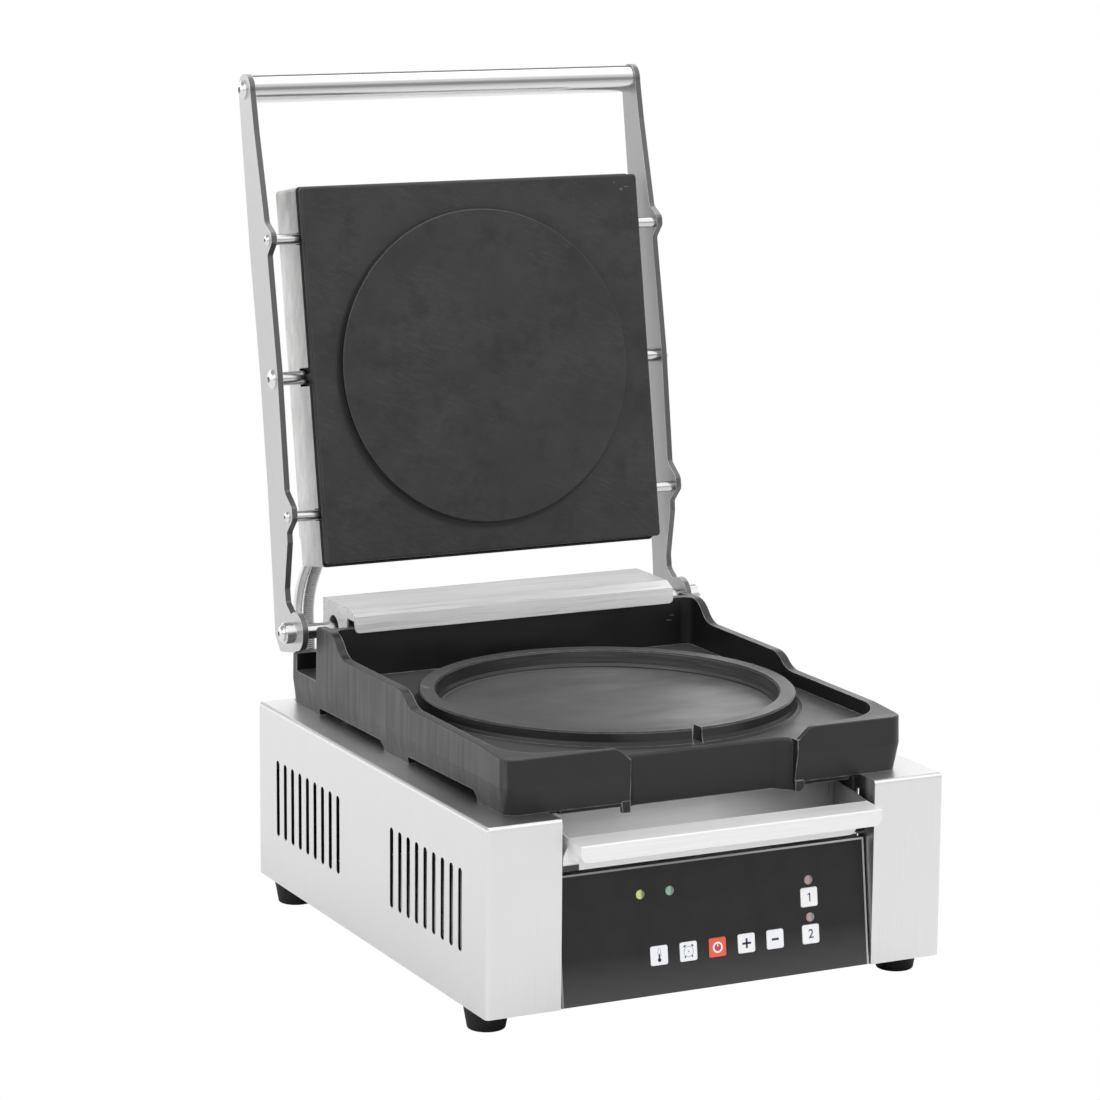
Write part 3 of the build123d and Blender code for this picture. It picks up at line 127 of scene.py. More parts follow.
# Small tools for node materials
def grey(level):
    return (level, level, level)


class Shader:
    """A Principled material under construction, with short calls for its nodes."""

    def __init__(self, name):
        self.material = bpy.data.materials.new(name)
        self.material.use_nodes = True
        self.tree = self.material.node_tree
        self.bsdf = self.tree.nodes["Principled BSDF"]
        self.coords = self.tree.nodes.new("ShaderNodeTexCoord").outputs["Object"]

    def put(self, **values):
        """Set sockets of the Principled shader, with underscores for the spaces in their names."""
        for key, value in values.items():
            self.bsdf.inputs[key.replace("_", " ")].default_value = value
        return self

    def node(self, kind, **settings):
        made = self.tree.nodes.new(kind)
        for key, value in settings.items():
            setattr(made, key, value)
        return made

    def link(self, a, b):
        self.tree.links.new(a, b)

    def plug(self, sockets, values):
        """Give each socket a number, a colour or the output of a node."""
        for socket, value in zip(sockets, values):
            if isinstance(value, (float, int)):
                socket.default_value = value
            elif isinstance(value, tuple):
                socket.default_value = (*value, 1.0)[:4]
            else:
                self.link(value, socket)

    def mapped(self, stretch, rotation=(0, 0, 0), vector=None):
        """Coordinates that are turned and then scaled, so a small stretch draws a pattern out."""
        mapping = self.node("ShaderNodeMapping", vector_type="TEXTURE")
        mapping.inputs["Scale"].default_value = [1 / value for value in stretch]
        mapping.inputs["Rotation"].default_value = rotation
        self.link(vector or self.coords, mapping.inputs["Vector"])
        return mapping.outputs["Vector"]

    def noise(self, scale, detail=4.0, stretch=(1, 1, 1), rough=0.55, rotation=(0, 0, 0), vector=None):
        made = self.node("ShaderNodeTexNoise")
        made.inputs["Scale"].default_value = scale
        made.inputs["Detail"].default_value = detail
        made.inputs["Roughness"].default_value = rough
        self.link(self.mapped(stretch, rotation, vector), made.inputs["Vector"])
        return made.outputs["Fac"]

    def mix(self, factor, a, b):
        made = self.node("ShaderNodeMix", data_type="RGBA")
        self.plug((made.inputs[0], made.inputs[6], made.inputs[7]), (factor, a, b))
        return made.outputs[2]

    def math(self, operation, a, b=0.5):
        made = self.node("ShaderNodeMath", operation=operation)
        self.plug(made.inputs, (a, b))
        return made.outputs[0]

    def times(self, *masks):
        """The product of masks and numbers."""
        product = masks[0]
        for mask in masks[1:]:
            product = self.math("MULTIPLY", product, mask)
        return product

    def flip(self, mask):
        return self.math("SUBTRACT", 1.0, mask)

    def absolute(self, value):
        return self.math("ABSOLUTE", value)

    def spread(self, value, low, high, out_low, out_high):
        """Take a value from one range to another, and stop at its ends."""
        made = self.node("ShaderNodeMapRange")
        for key, number in zip(("From Min", "From Max", "To Min", "To Max"), (low, high, out_low, out_high)):
            made.inputs[key].default_value = number
        self.link(value, made.inputs["Value"])
        return made.outputs["Result"]

    def fade(self, value, off, full, most=1.0):
        """A mask that is 0 where the value is at off, and grows to most where it is at full."""
        return self.spread(value, off, full, 0.0, most)

    def fade_mm(self, length, off, full, most=1.0):
        """A mask by a length, with its ends in millimetres."""
        return self.fade(length, off * 0.001, full * 0.001, most)

    def part(self, vector, axis):
        """One component of a vector, 0 for X, 1 for Y and 2 for Z."""
        made = self.node("ShaderNodeSeparateXYZ")
        self.link(vector, made.inputs[0])
        return made.outputs[axis]

    def along(self, axis, off, full, most=1.0):
        """A mask by the place along an axis, in millimetres."""
        return self.fade_mm(self.part(self.coords, axis), off, full, most)

    def outward(self, off, full):
        """A mask by the distance from the middle plane, in millimetres."""
        return self.fade_mm(self.absolute(self.part(self.coords, 0)), off, full)

    def facing(self, axis):
        """How far the surface faces along an axis, from -1 to 1."""
        return self.part(self.node("ShaderNodeTexCoord").outputs["Normal"], axis)

    def vector_math(self, operation, a, b=None):
        made = self.node("ShaderNodeVectorMath", operation=operation)
        self.link(a, made.inputs[0])
        if b is not None:
            made.inputs[1].default_value = b
        return made

    def toward(self, direction):
        """How far the surface faces in a direction, from -1 to 1."""
        normal = self.node("ShaderNodeTexCoord").outputs["Normal"]
        return self.vector_math("DOT_PRODUCT", normal, direction).outputs["Value"]

    def edges(self, radius):
        """1 on the object's edges, fading to 0 at about the radius from them."""
        soft = self.node("ShaderNodeBevel", samples=6)
        soft.inputs["Radius"].default_value = radius
        dot = self.vector_math("DOT_PRODUCT", soft.outputs[0])
        self.link(self.node("ShaderNodeNewGeometry").outputs["True Normal"], dot.inputs[1])
        return self.fade(dot.outputs["Value"], 0.985, 0.85)

    def around(self, centre_y):
        """Round coordinates about an upright axis on the middle plane: angle, radius and height."""
        x = self.part(self.coords, 0)
        y = self.math("SUBTRACT", self.part(self.coords, 1), centre_y * 0.001)
        radius = self.math("SQRT", self.math("ADD", self.times(x, x), self.times(y, y)))
        made = self.node("ShaderNodeCombineXYZ")
        self.plug(made.inputs, (self.math("ARCTAN2", y, x), radius, self.part(self.coords, 2)))
        return made.outputs[0]

    def from_point(self, centre, unit=(1, 1, 1)):
        """Distance from a point, measured along each axis in its own unit."""
        away = self.vector_math("SUBTRACT", self.coords, centre).outputs[0]
        scaled = self.vector_math("DIVIDE", away, unit).outputs[0]
        return self.vector_math("LENGTH", scaled).outputs["Value"]

    def spots(self, places, weight, color):
        """Small spots of a colour: each has a centre and a reach along each axis, in millimetres."""
        for centre, reach in places:
            spot = self.fade(self.from_point(mm(*centre), mm(*reach)), 1.0, 0.4)
            self.shade(self.times(spot, weight), color)
        return self

    def color(self, value):
        self.link(value, self.bsdf.inputs["Base Color"])
        return self

    def shade(self, mask, color):
        """Mix another colour over the base colour where the mask is 1."""
        before = self.bsdf.inputs["Base Color"].links[0].from_socket
        return self.color(self.mix(mask, before, color))

    def rough(self, value):
        self.link(value, self.bsdf.inputs["Roughness"])
        return self

    def bump(self, height, strength, distance):
        """Add a bump on top of those before it."""
        made = self.node("ShaderNodeBump")
        made.inputs["Strength"].default_value = strength
        made.inputs["Distance"].default_value = distance
        self.link(height, made.inputs["Height"])
        if self.bsdf.inputs["Normal"].is_linked:
            self.link(self.bsdf.inputs["Normal"].links[0].from_socket, made.inputs["Normal"])
        self.link(made.outputs["Normal"], self.bsdf.inputs["Normal"])
        return self


# Stretches that draw a pattern out along one axis, and the lean of the open lid
along_x = (0.02, 1, 1)
along_y = (1, 0.02, 1)
along_z = (1, 1, 0.02)
tilt_back = (-lean, 0, 0)
# Centre and reach of small marks, in millimetres: two dashes on the casting's back wall and a spot
# on its ring, chips on the plate, and a scratch beside the tray's right corner
rubbed_spots = (
    ((114.2, 86.5, 174.0), (3.0, 2.0, 0.45)),
    ((116.4, 86.5, 177.2), (2.2, 2.0, 0.4)),
    ((-103.7, 2.9, 166.9), (2.5, 6.0, 1.0)),
)
plate_chips = (
    ((109.7, 154.4, 457.2), (1.5, 3.0, 0.9)),
    ((113.6, 154.7, 458.7), (2.6, 3.0, 0.35)),
    ((104.6, 155.2, 461.7), (0.7, 3.0, 0.5)),
)
tray_scratch = (((97.2, -156.0, 116.6), (0.5, 3.0, 4.6)),)


# Kinds of surface
def brushed(name, color, roughness, stretch, stain, rotation=(0, 0, 0), streak=0.12):
    """Sheet metal with fine streaks along the axis whose stretch is small, and faint clouding."""
    s = Shader(name).put(Metallic=1.0)
    lines = s.noise(900.0, 3.0, stretch, 0.6, rotation)
    cloud = s.noise(9.0, 3.0, (1, 1, 1), 0.5)
    dull = tuple(c * (1 - streak) for c in color)
    stained = tuple(c * (1 - stain) for c in color)
    s.color(s.mix(s.fade(cloud, 0.42, 0.68), s.mix(s.fade(lines, 0.3, 0.7), dull, color), stained))
    line_rough = s.spread(lines, 0.3, 0.7, roughness - 0.05, roughness + 0.05)
    s.rough(s.math("ADD", line_rough, s.spread(cloud, 0.3, 0.7, -0.03, 0.03)))
    return s.bump(lines, 0.12, 0.0001)


def coated_iron(name, color, roughness, grain, cloud_to):
    """Black non-stick coat on a casting: fine grain, faint clouds and paler specks."""
    s = Shader(name).put(Metallic=0.0)
    fine = s.noise(2600.0, 2.0)
    wide = s.noise(22.0, 6.0, (1, 1, 1), 0.62)
    speck = s.noise(420.0, 3.0)
    tone = s.mix(s.fade(wide, 0.38, 0.66), color, cloud_to)
    s.color(s.mix(s.fade(speck, 0.6, 0.75, 0.35), tone, tuple(c * 1.7 for c in cloud_to)))
    wide_rough = s.spread(wide, 0.35, 0.65, roughness - 0.05, roughness + 0.05)
    s.rough(s.math("ADD", wide_rough, s.spread(fine, 0.3, 0.7, -0.04, 0.04)))
    s.bump(fine, grain, 0.00012)
    return s.bump(wide, 0.08, 0.0012)


def moulded(name, color, roughness, grain):
    """Moulded plastic or rubber with a slight grain."""
    s = Shader(name)
    fine = s.noise(1800.0, 2.0)
    wide = s.noise(60.0, 3.0)
    paler = tuple(min(1.0, c * 1.12 + 0.004) for c in color)
    s.color(s.mix(s.fade(wide, 0.35, 0.65), color, paler))
    s.rough(s.spread(wide, 0.3, 0.7, roughness - 0.04, roughness + 0.04))
    return s.bump(fine, grain, 0.0001)


# The object's own materials
def body_steel(name):
    """Brushed sheet of the body: painted shade on the left side and its bend, and inside the front opening.
    """
    s = brushed(name, grey(0.86), 0.40, along_z, 0.04, streak=0.06)
    sideways = s.facing(0)
    rising = s.facing(2)
    # painted shade on the left side, and on the bend between it and the deck
    s.shade(s.fade(sideways, -0.5, -0.9), grey(0.75))
    bend = s.times(s.fade(rising, 0.25, 0.6), s.fade(rising, 0.97, 0.8))
    s.shade(s.times(bend, s.fade(sideways, -0.15, -0.35)), grey(0.62))
    # painted shade on the faces that look inward, lighter on the strips beside the panel
    inward = s.times(s.part(s.coords, 0), sideways)
    depth = s.mix(s.along(1, front_y + 12.6, front_y + 7.6), grey(0.16), grey(0.72))
    s.shade(s.fade(inward, -0.02, -0.07), depth)
    # painted shade on the cut faces of the vents, and on the rear panel too, which faces the same way
    cut = s.times(s.along(1, front_y + 25.6, front_y + 35.6), s.fade(s.absolute(s.facing(1)), 0.35, 0.6))
    s.shade(s.times(cut, s.along(2, deck_z - 8.0, deck_z - 10.0)), grey(0.05))
    # the deck is in the shade of the casting at its front left
    corner = s.times(s.along(1, -30.0, -130.0), s.along(0, -90.0, -110.0))
    return s.shade(s.times(corner, s.fade(rising, 0.9, 0.98)), grey(0.42))


def cover_steel(name):
    """Brushed sheet with pale smears and dark streaks along the hinge, and painted shade on top and along
    the edges.
    """
    s = brushed(name, grey(0.88), 0.45, along_x, 0.06, streak=0.08).put(Metallic=0.5)
    smears = s.noise(60.0, 4.0, (0.1, 1, 1), 0.6)
    s.shade(s.fade(smears, 0.5, 0.68, 0.6), grey(1.0))
    # painted shade on the upward faces
    s.shade(s.fade(s.facing(2), 0.85, 0.98, 0.8), grey(0.74))
    fine = s.noise(420.0, 4.0, (0.03, 1, 1), 0.65)
    s.shade(s.fade(fine, 0.48, 0.36, 0.5), grey(0.55))
    # painted shade along the edges and creases
    return s.shade(s.times(s.edges(0.0006), 0.7), grey(0.36))


def tray_steel(name):
    """Brushed sheet, lit at the left of the trough and in shade at its right."""
    s = brushed(name, grey(0.93), 0.40, along_x, 0.04, streak=0.08).put(Metallic=0.3)
    inside = s.along(1, tray_wall - 1.0, tray_wall + 1.0)
    s.shade(s.times(inside, s.along(0, 15.0, 105.0)), grey(0.28))
    # painted shade in the creases at the bottom and in the right corner
    low = s.along(2, deck_z - 15.0, deck_z - 16.0)
    creases = s.math("MAXIMUM", low, s.along(0, tray_half - 8.0, tray_half - 6.0))
    s.shade(s.times(inside, creases, s.edges(0.0008)), grey(0.05))
    s.spots(tray_scratch, 0.6, grey(0.08))
    # the lower ends stay in the shade, and the left edge is a dull line
    shade_z = deck_z - 28.5
    ends = s.outward(tray_half - 7.7, tray_half - 7.1)
    s.shade(s.times(ends, s.along(2, shade_z + 0.3, shade_z - 0.3)), grey(0.05))
    left = s.along(0, -tray_half + 2.4, -tray_half + 1.8, 0.7)
    return s.shade(s.times(left, s.edges(0.0005)), grey(0.30))


def frame_steel(name):
    """The panel's metal frame: dull, paler towards the right."""
    s = brushed(name, grey(0.34), 0.42, along_x, 0.06)
    return s.shade(s.along(0, 0.0, 100.0), grey(0.62))


def handle_steel(name):
    """Polished tube with painted reflection bands: dark above, bright, then a grey band along its front."""
    s = brushed(name, grey(0.82), 0.2, along_x, 0.04)
    rising = s.facing(2)
    s.shade(s.fade(rising, 0.89, 0.925), grey(0.20))
    front = s.times(s.fade(rising, 0.48, 0.36), s.fade(rising, -0.30, 0.05))
    return s.shade(front, grey(0.46))


def arm_steel(name):
    """Flat brushed bars: painted shade on the inner faces, darker front edges, and painted highlights on the
    corners.
    """
    s = brushed(name, grey(0.61), 0.40, along_z, 0.06, tilt_back, 0.07)
    inward = s.times(s.part(s.coords, 0), s.facing(0))
    # painted shade on the faces that look inward
    s.shade(s.fade(inward, -0.02, -0.09), grey(0.36))
    # the front edges darker
    s.shade(s.fade(s.facing(1), -0.2, -0.6), grey(0.16))
    # painted highlights along the corners
    return s.shade(s.edges(0.0005), grey(0.80))


def turned_ring(s, level, upright):
    """Shade the casting's ring: a painted sheen on the well, streaks round the inner wall that are painted
    lighter towards its right, and a painted highlight on the line round the well.

    Gives the mask of the hollow corner at the wall's foot, where the edges get neither rubbed wear nor
    painted highlights.
    """
    turned = s.around(ring_y)
    radius = s.part(turned, 1)
    # painted sheen on the well, brighter towards the right and broken up by noise
    patchy_sheen = s.fade(s.noise(28.0, 4.0, (0.35, 1, 1), 0.6), 0.25, 0.7)
    well = s.times(level, s.fade_mm(radius, ring_in, ring_in - 12.0))
    lit = s.spread(s.part(s.coords, 0), -0.05, 0.09, 0.15, 1.0)
    s.shade(s.times(well, lit, patchy_sheen), (0.27, 0.27, 0.272))
    # streaks round the inner wall, painted lighter only towards the right, where light falls
    within = s.fade_mm(radius, ring_in + 1.5, ring_in)
    swirl = s.spread(s.noise(1.0, 5.0, (3.0, 1500.0, 1500.0), 0.6, vector=turned), 0.35, 0.7, 0.2, 1.0)
    s.shade(s.times(within, upright, s.along(0, -55.0, 30.0), swirl), (0.085, 0.085, 0.086))
    # a painted highlight on the line round the well
    from_line = s.absolute(s.math("SUBTRACT", radius, well_r * 0.001))
    s.shade(s.fade_mm(from_line, 0.7, 0.3, 0.5), grey(0.22))
    return s.times(within, s.along(2, corner_z + 0.5, corner_z - 0.5))


def black_casting(name):
    """The lower casting: cast sides with upright streaks, painted shade on the walls inside, painted light
    on the upward faces, and rubbed wear with painted highlights on the edges.
    """
    s = coated_iron(name, (0.011, 0.011, 0.0112), 0.40, 0.25, (0.017, 0.017, 0.0172))
    outside = s.outward(cast_half - 2.8, cast_half - 1.8)
    streaks = s.spread(s.noise(330.0, 4.0, (1, 1, 0.035), 0.6), 0.36, 0.66, 0.1, 1.0)
    s.shade(s.times(outside, s.fade(s.absolute(s.facing(0)), 0.5, 0.9), streaks), (0.062, 0.062, 0.063))
    upright = s.fade(s.absolute(s.facing(2)), 0.8, 0.5)
    # painted shade on the upright walls inside
    s.shade(s.times(upright, s.flip(outside), 0.5), grey(0.004))
    # painted light on the upward faces
    level = s.fade(s.facing(2), 0.95, 0.985, 0.85)
    s.shade(level, (0.087, 0.087, 0.088))
    hollow = turned_ring(s, level, upright)
    s.spots(rubbed_spots, 0.4, grey(0.35))
    # rubbed wear and painted highlights along the edges, except in the hollow corner
    wear_and_highlight = s.spread(s.noise(160.0, 4.0), 0.35, 0.6, 0.35, 1.0)
    return s.shade(s.times(s.edges(0.0009), wear_and_highlight, s.flip(hollow)), grey(0.44))


def plate_iron(name):
    """The upper plate: matt coat with scuffs, a painted shadow beside the disc, painted shade on the disc's
    rim, chips, and rubbed wear with painted highlights on the edges.
    """
    s = coated_iron(name, (0.019, 0.019, 0.0193), 0.5, 0.3, (0.029, 0.029, 0.0293))
    strokes = s.noise(700.0, 5.0, (0.12, 1, 1), 0.7, (0, radians(24), 0))
    scuffed = s.spread(s.noise(18.0, 4.0), 0.42, 0.62, 0.15, 1.0)
    s.shade(s.times(scuffed, s.fade(strokes, 0.46, 0.74, 0.9)), (0.045, 0.045, 0.0455))
    blotches = s.noise(48.0, 5.0, (1, 1, 1), 0.65)
    s.shade(s.fade(blotches, 0.50, 0.32, 0.7), (0.012, 0.012, 0.0122))
    s.bump(strokes, 0.25, 0.00015)
    # a soft shadow on the plate, below and to the left of the disc
    from_disc = s.from_point(tilted(plate_along, plate_front))
    from_shadow = s.from_point(tilted(plate_along - 2.6, plate_front, -2.0))
    beside = s.fade_mm(from_disc, disc_r - 0.2, disc_r + 0.3)
    s.shade(s.times(beside, s.fade_mm(from_shadow, disc_r + 2.5, disc_r + 0.5, 0.95)), grey(0.004))
    # painted shade on the disc's rim and the plate's sides, which come out darker than the faces
    level = s.toward((0, -cos(lean), sin(lean)))
    s.shade(s.times(s.fade(level, 0.6, 0.3), s.fade(s.facing(2), -0.6, -0.3)), grey(0.004))
    s.spots(plate_chips, 0.35, grey(0.35))
    # rubbed wear and painted highlights along the edges, brightest on those that face up
    edge = s.edges(0.0008)
    s.shade(s.times(edge, 0.4), grey(0.12))
    return s.shade(s.times(edge, s.fade(s.facing(2), 0.3, 0.6, 0.8)), grey(0.30))


def panel_film(name):
    """The black panel film, which pales towards the table."""
    s = moulded(name, (0.007, 0.007, 0.0072), 0.38, 0.06).put(Specular_IOR_Level=0.4)
    return s.shade(s.along(2, 42.0, 12.0), grey(0.062))


def housing_steel(name):
    """Dull sheet with stains all over, mottled sides and painted shade on the hem round the plate."""
    s = brushed(name, (0.80, 0.80, 0.795), 0.5, along_z, 0.18, tilt_back, 0.06)
    stains = s.noise(38.0, 5.0, (1, 1, 0.5), 0.6)
    s.shade(s.fade(stains, 0.5, 0.72, 0.3), (0.48, 0.48, 0.47))
    at_side = s.fade(s.absolute(s.facing(0)), 0.5, 0.9, 0.75)
    mottled = s.fade(s.noise(150.0, 5.0, (1, 1, 0.4), 0.65), 0.42, 0.62, 0.8)
    s.shade(s.times(at_side, mottled), (0.56, 0.56, 0.555))
    # dark patches come in towards the top of the sides
    patches = s.spread(s.noise(95.0, 3.0, (1, 1, 0.6), 0.5), 0.4, 0.6, 0.45, 1.0)
    s.shade(s.times(s.along(2, 410.0, 455.0), at_side, patches), (0.36, 0.36, 0.355))
    # painted shade on the hem that faces forward round the plate
    return s.shade(s.fade(s.facing(1), -0.35, -0.6), grey(0.04))


def lens(name, middle, rim_shade, centre):
    """A domed lamp: clear lens over a coloured middle, with painted shade towards its right rim, paler again
    at the very edge.
    """
    s = moulded(name, middle, 0.12, 0.01)
    # painted shade towards the right rim
    s.shade(s.along(0, centre - 0.3, centre + 1.3), rim_shade)
    s.shade(s.along(0, centre + 1.9, centre + 2.5, 0.5), grey(0.5))
    return s.put(Coat_Weight=1.0, Coat_Roughness=0.05)


# Every material under its name: those with a function of their own, then the plain ones
makers = {
    "steel_body": body_steel,
    "steel_cover": cover_steel,
    "tray_steel": tray_steel,
    "arm_steel": arm_steel,
    "handle_steel": handle_steel,
    "frame_steel": frame_steel,
    "housing_steel": housing_steel,
    "black_casting": black_casting,
    "plate_iron": plate_iron,
    "black_panel": panel_film,
}
# Colour, roughness, stretch of the streaks and strength of the stains
plain_metals = {
    # a dark steel that stands for painted shade, for parts deep in the shade
    "shaded_steel": (grey(0.10), 0.5, along_y, 0.1),
    "turned_steel": (grey(0.72), 0.24, along_x, 0.05),
    "screw_steel": (grey(0.78), 0.22, (1, 1, 1), 0.05),
    "bearing_metal": (grey(0.5), 0.4, along_x, 0.1),
    "heater_steel": ((0.3, 0.29, 0.28), 0.5, along_x, 0.2),
    "conduit_light": ((0.88, 0.88, 0.87), 0.36, (1, 1, 1), 0.06),
    "braid_core": (grey(0.30), 0.5, (1, 1, 1), 0.1),
    "conduit_dark": (grey(0.62), 0.34, (1, 1, 1), 0.1),
}
# Colour, roughness and grain
plain_plastics = {
    "insulation_board": ((0.8, 0.78, 0.7), 0.9, 0.4),
    "black_plastic": (grey(0.02), 0.45, 0.05),
    "rubber": (grey(0.004), 0.6, 0.15),
    "key_white": ((0.93, 0.95, 1.0), 0.35, 0.02),
    "key_red": ((0.80, 0.12, 0.065), 0.3, 0.02),
    "key_ink": ((0.022, 0.026, 0.07), 0.4, 0.02),
    "ink_pale": ((0.30, 0.33, 0.46), 0.4, 0.02),
    "ink_red": ((0.56, 0.045, 0.05), 0.4, 0.02),
    "board_green": ((0.02, 0.16, 0.06), 0.4, 0.05),
}
# Colour of the middle and of the painted shade at the rim, and the place of the light in X
lenses = {
    "light_yellow": ((0.66, 0.74, 0.22), (0.15, 0.20, 0.11), -49.8),
    "light_green": ((0.24, 0.46, 0.34), (0.17, 0.21, 0.20), -30.0),
    "light_channel": ((0.42, 0.28, 0.28), grey(0.20), 65.3),
}
materials = {name: make(name) for name, make in makers.items()}
materials.update({name: brushed(name, *values) for name, values in plain_metals.items()})
materials.update({name: moulded(name, *values) for name, values in plain_plastics.items()})
materials.update({name: lens(name, *values) for name, values in lenses.items()})
materials["rubber"].put(Specular_IOR_Level=0.3)
# Two pieces look different from the other pieces of their slots; the tray runners take the dark steel of
# painted shade
look_of = {"panel_bracket": "frame_steel", "tray_runners": "shaded_steel"}
slot_of = {p["node"]: p["material_slot"] for p in frame["record"]["subparts"]}
for name, node in nodes.items():
    node.data.materials.clear()
    node.data.materials.append(materials[look_of.get(name, slot_of[name])].material)


def piece(name, mesh, slot, body=None, material=None):
    """A new object from a mesh, with its material, which is the slot's unless another is named, and the body
    that it rides on.
    """
    made = bpy.data.objects.new(name, mesh)
    scene.collection.objects.link(made)
    mesh.materials.clear()
    mesh.materials.append(materials[material or slot].material)
    if body:
        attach(made, body)
    return made


def mesh_from(name, bm):
    """Turn a finished bmesh into a mesh."""
    mesh = bpy.data.meshes.new(name)
    bm.to_mesh(mesh)
    bm.free()
    return mesh


# Signs on the keys: flat outlines, ink_rise thick, that start ink_off above each key's face
ink_rise = 0.06
ink_off = 0.005
panel_frame = Matrix(
    (
        (1, 0, 0, 0),
        (0, sin(panel_lean), -cos(panel_lean), 0),
        (0, cos(panel_lean), sin(panel_lean), 0),
        (0, 0, 0, 1),
    )
)


def prism(bm, outline, thick):
    """A flat shape with straight sides from one closed outline in millimetres."""
    low = [bm.verts.new((x, y, 0)) for x, y in outline]
    high = [bm.verts.new((x, y, thick)) for x, y in outline]
    count = len(outline)
    bm.faces.new(high)
    bm.faces.new(low[::-1])
    for i in range(count):
        j = (i + 1) % count
        bm.faces.new((low[i], low[j], high[j], high[i]))


def band(bm, radius, width, thick, start=0.0, end=2 * pi, steps=40, centre=(0, 0)):
    """A ring, or a part of one, of the given width about a radius."""
    full = end - start > 2 * pi - 0.001
    count = steps if full else steps + 1
    rows = []
    for i in range(count):
        a = start + (end - start) * i / steps
        corners = []
        for r in (radius - width / 2, radius + width / 2):
            for z in (0, thick):
                corners.append(bm.verts.new((centre[0] + r * cos(a), centre[1] + r * sin(a), z)))
        rows.append(corners)
    for i in range(count if full else count - 1):
        a, b = rows[i], rows[(i + 1) % count]
        bm.faces.new((a[1], a[3], b[3], b[1]))
        bm.faces.new((a[2], a[0], b[0], b[2]))
        bm.faces.new((a[0], a[1], b[1], b[0]))
        bm.faces.new((a[3], a[2], b[2], b[3]))
    if not full:
        for e in (rows[0], rows[-1]):
            bm.faces.new((e[0], e[2], e[3], e[1]))


def disc(bm, radius, thick, centre=(0, 0)):
    x, y = centre
    steps = 28
    angles = [2 * pi * i / steps for i in range(steps)]
    prism(bm, [(x + radius * cos(a), y + radius * sin(a)) for a in angles], thick)


def bar(bm, x, y, w, h, thick, turn=0.0):
    """A rectangle about a point, turned about its middle."""
    outline = []
    for sx, sy in ((-1, -1), (1, -1), (1, 1), (-1, 1)):
        px, py = sx * w / 2, sy * h / 2
        outline.append((x + px * cos(turn) - py * sin(turn), y + px * sin(turn) + py * cos(turn)))
    prism(bm, outline, thick)


def sign_plus(bm, t):
    bar(bm, 0, 0, 6.0, 1.3, t)
    bar(bm, 0, 0, 1.3, 6.0, t)


def sign_minus(bm, t):
    bar(bm, 0, 0, 4.8, 1.4, t)


def sign_power(bm, t):
    band(bm, 2.85, 1.05, t)
    bar(bm, 0, 1.3, 0.6, 1.9, t)


def sign_temperature(bm, t):
    disc(bm, 1.2, t, (0, -2.7))
    bar(bm, 0, -0.9, 1.1, 3.6, t)


def sign_timer(bm, t):
    for s in (-1, 1):
        bar(bm, s * 2.6, 3.5, 1.7, 0.9, t, s * radians(-38))
        bar(bm, s * 2.4, -3.1, 0.9, 1.1, t, s * radians(35))


def pale_temperature(bm, t):
    band(bm, 0.85, 0.3, t, 0, pi, 16, (0, 3.3))
    for s in (-1, 1):
        bar(bm, s * 0.85, 2.1, 0.3, 2.4, t)
    for y in (-0.2, 0.7):
        bar(bm, 1.15, y, 0.7, 0.28, t)


def pale_timer(bm, t):
    band(bm, 3.15, 0.32, t)
    disc(bm, 0.5, t)


def red_power(bm, t):
    disc(bm, 2.35, t * 0.5)


def sign_one(bm, t):
    bar(bm, 0.35, 0, 0.75, 5.4, t)
    bar(bm, -0.35, 2.0, 0.6, 1.9, t, radians(-52))


signs = {
    "key_one": ((sign_one, "key_ink"),),
    "key_plus": ((sign_plus, "key_ink"),),
    "key_minus": ((sign_minus, "key_ink"),),
    "key_power": ((sign_power, "key_white"), (red_power, "ink_red")),
    "key_temperature": ((sign_temperature, "key_ink"), (pale_temperature, "ink_pale")),
    "key_timer": ((sign_timer, "key_ink"), (pale_timer, "ink_pale")),
}
# Middle of each key: place in X, and how far up the panel
key_places = {
    "key_temperature": (-39.2, 23.65),
    "key_timer": (-19.35, 23.65),
    "key_power": (0.5, 23.65),
    "key_plus": (20.35, 23.65),
    "key_minus": (40.2, 23.65),
    "key_one": (65.0, 46.4),
    "key_two": (65.1, 23.65),
}


def drawn(name, draw):
    """A mesh in metres from one of the sign functions."""
    bm = bmesh.new()
    draw(bm, ink_rise)
    bmesh.ops.scale(bm, vec=(0.001, 0.001, 0.001), verts=bm.verts)
    return mesh_from(name, bm)


def digit(name, character):
    """A mesh in metres of one thin digit, raised as far as the other signs."""
    half_rise = ink_rise / 2 * 0.001
    text = bpy.data.curves.new(name, "FONT")
    text.body = character
    text.size = 0.0078
    text.extrude = half_rise
    text.offset = 0.00004
    text.align_x = "CENTER"
    text.align_y = "CENTER"
    flat = bpy.data.objects.new("flat_text", text)
    scene.collection.objects.link(flat)
    bpy.context.view_layer.update()
    mesh = bpy.data.meshes.new_from_object(flat.evaluated_get(bpy.context.evaluated_depsgraph_get()))
    mesh.name = name
    bpy.data.objects.remove(flat)
    mesh.transform(Matrix.Translation((0, 0, half_rise)))
    return mesh


for key, (x, high) in key_places.items():
    place = Matrix.Translation(on_panel(x, high, key_rise + ink_off)) @ panel_frame
    label = key[4:]
    if key in signs:
        drawings = [(drawn(f"sign_{label}_{i}", draw), ink) for i, (draw, ink) in enumerate(signs[key])]
    else:
        drawings = [(digit("sign_" + label, "2"), "key_ink")]
    for mesh, ink in drawings:
        mesh.transform(place)
        piece(mesh.name, mesh, "key_white", key + "_cap", ink)


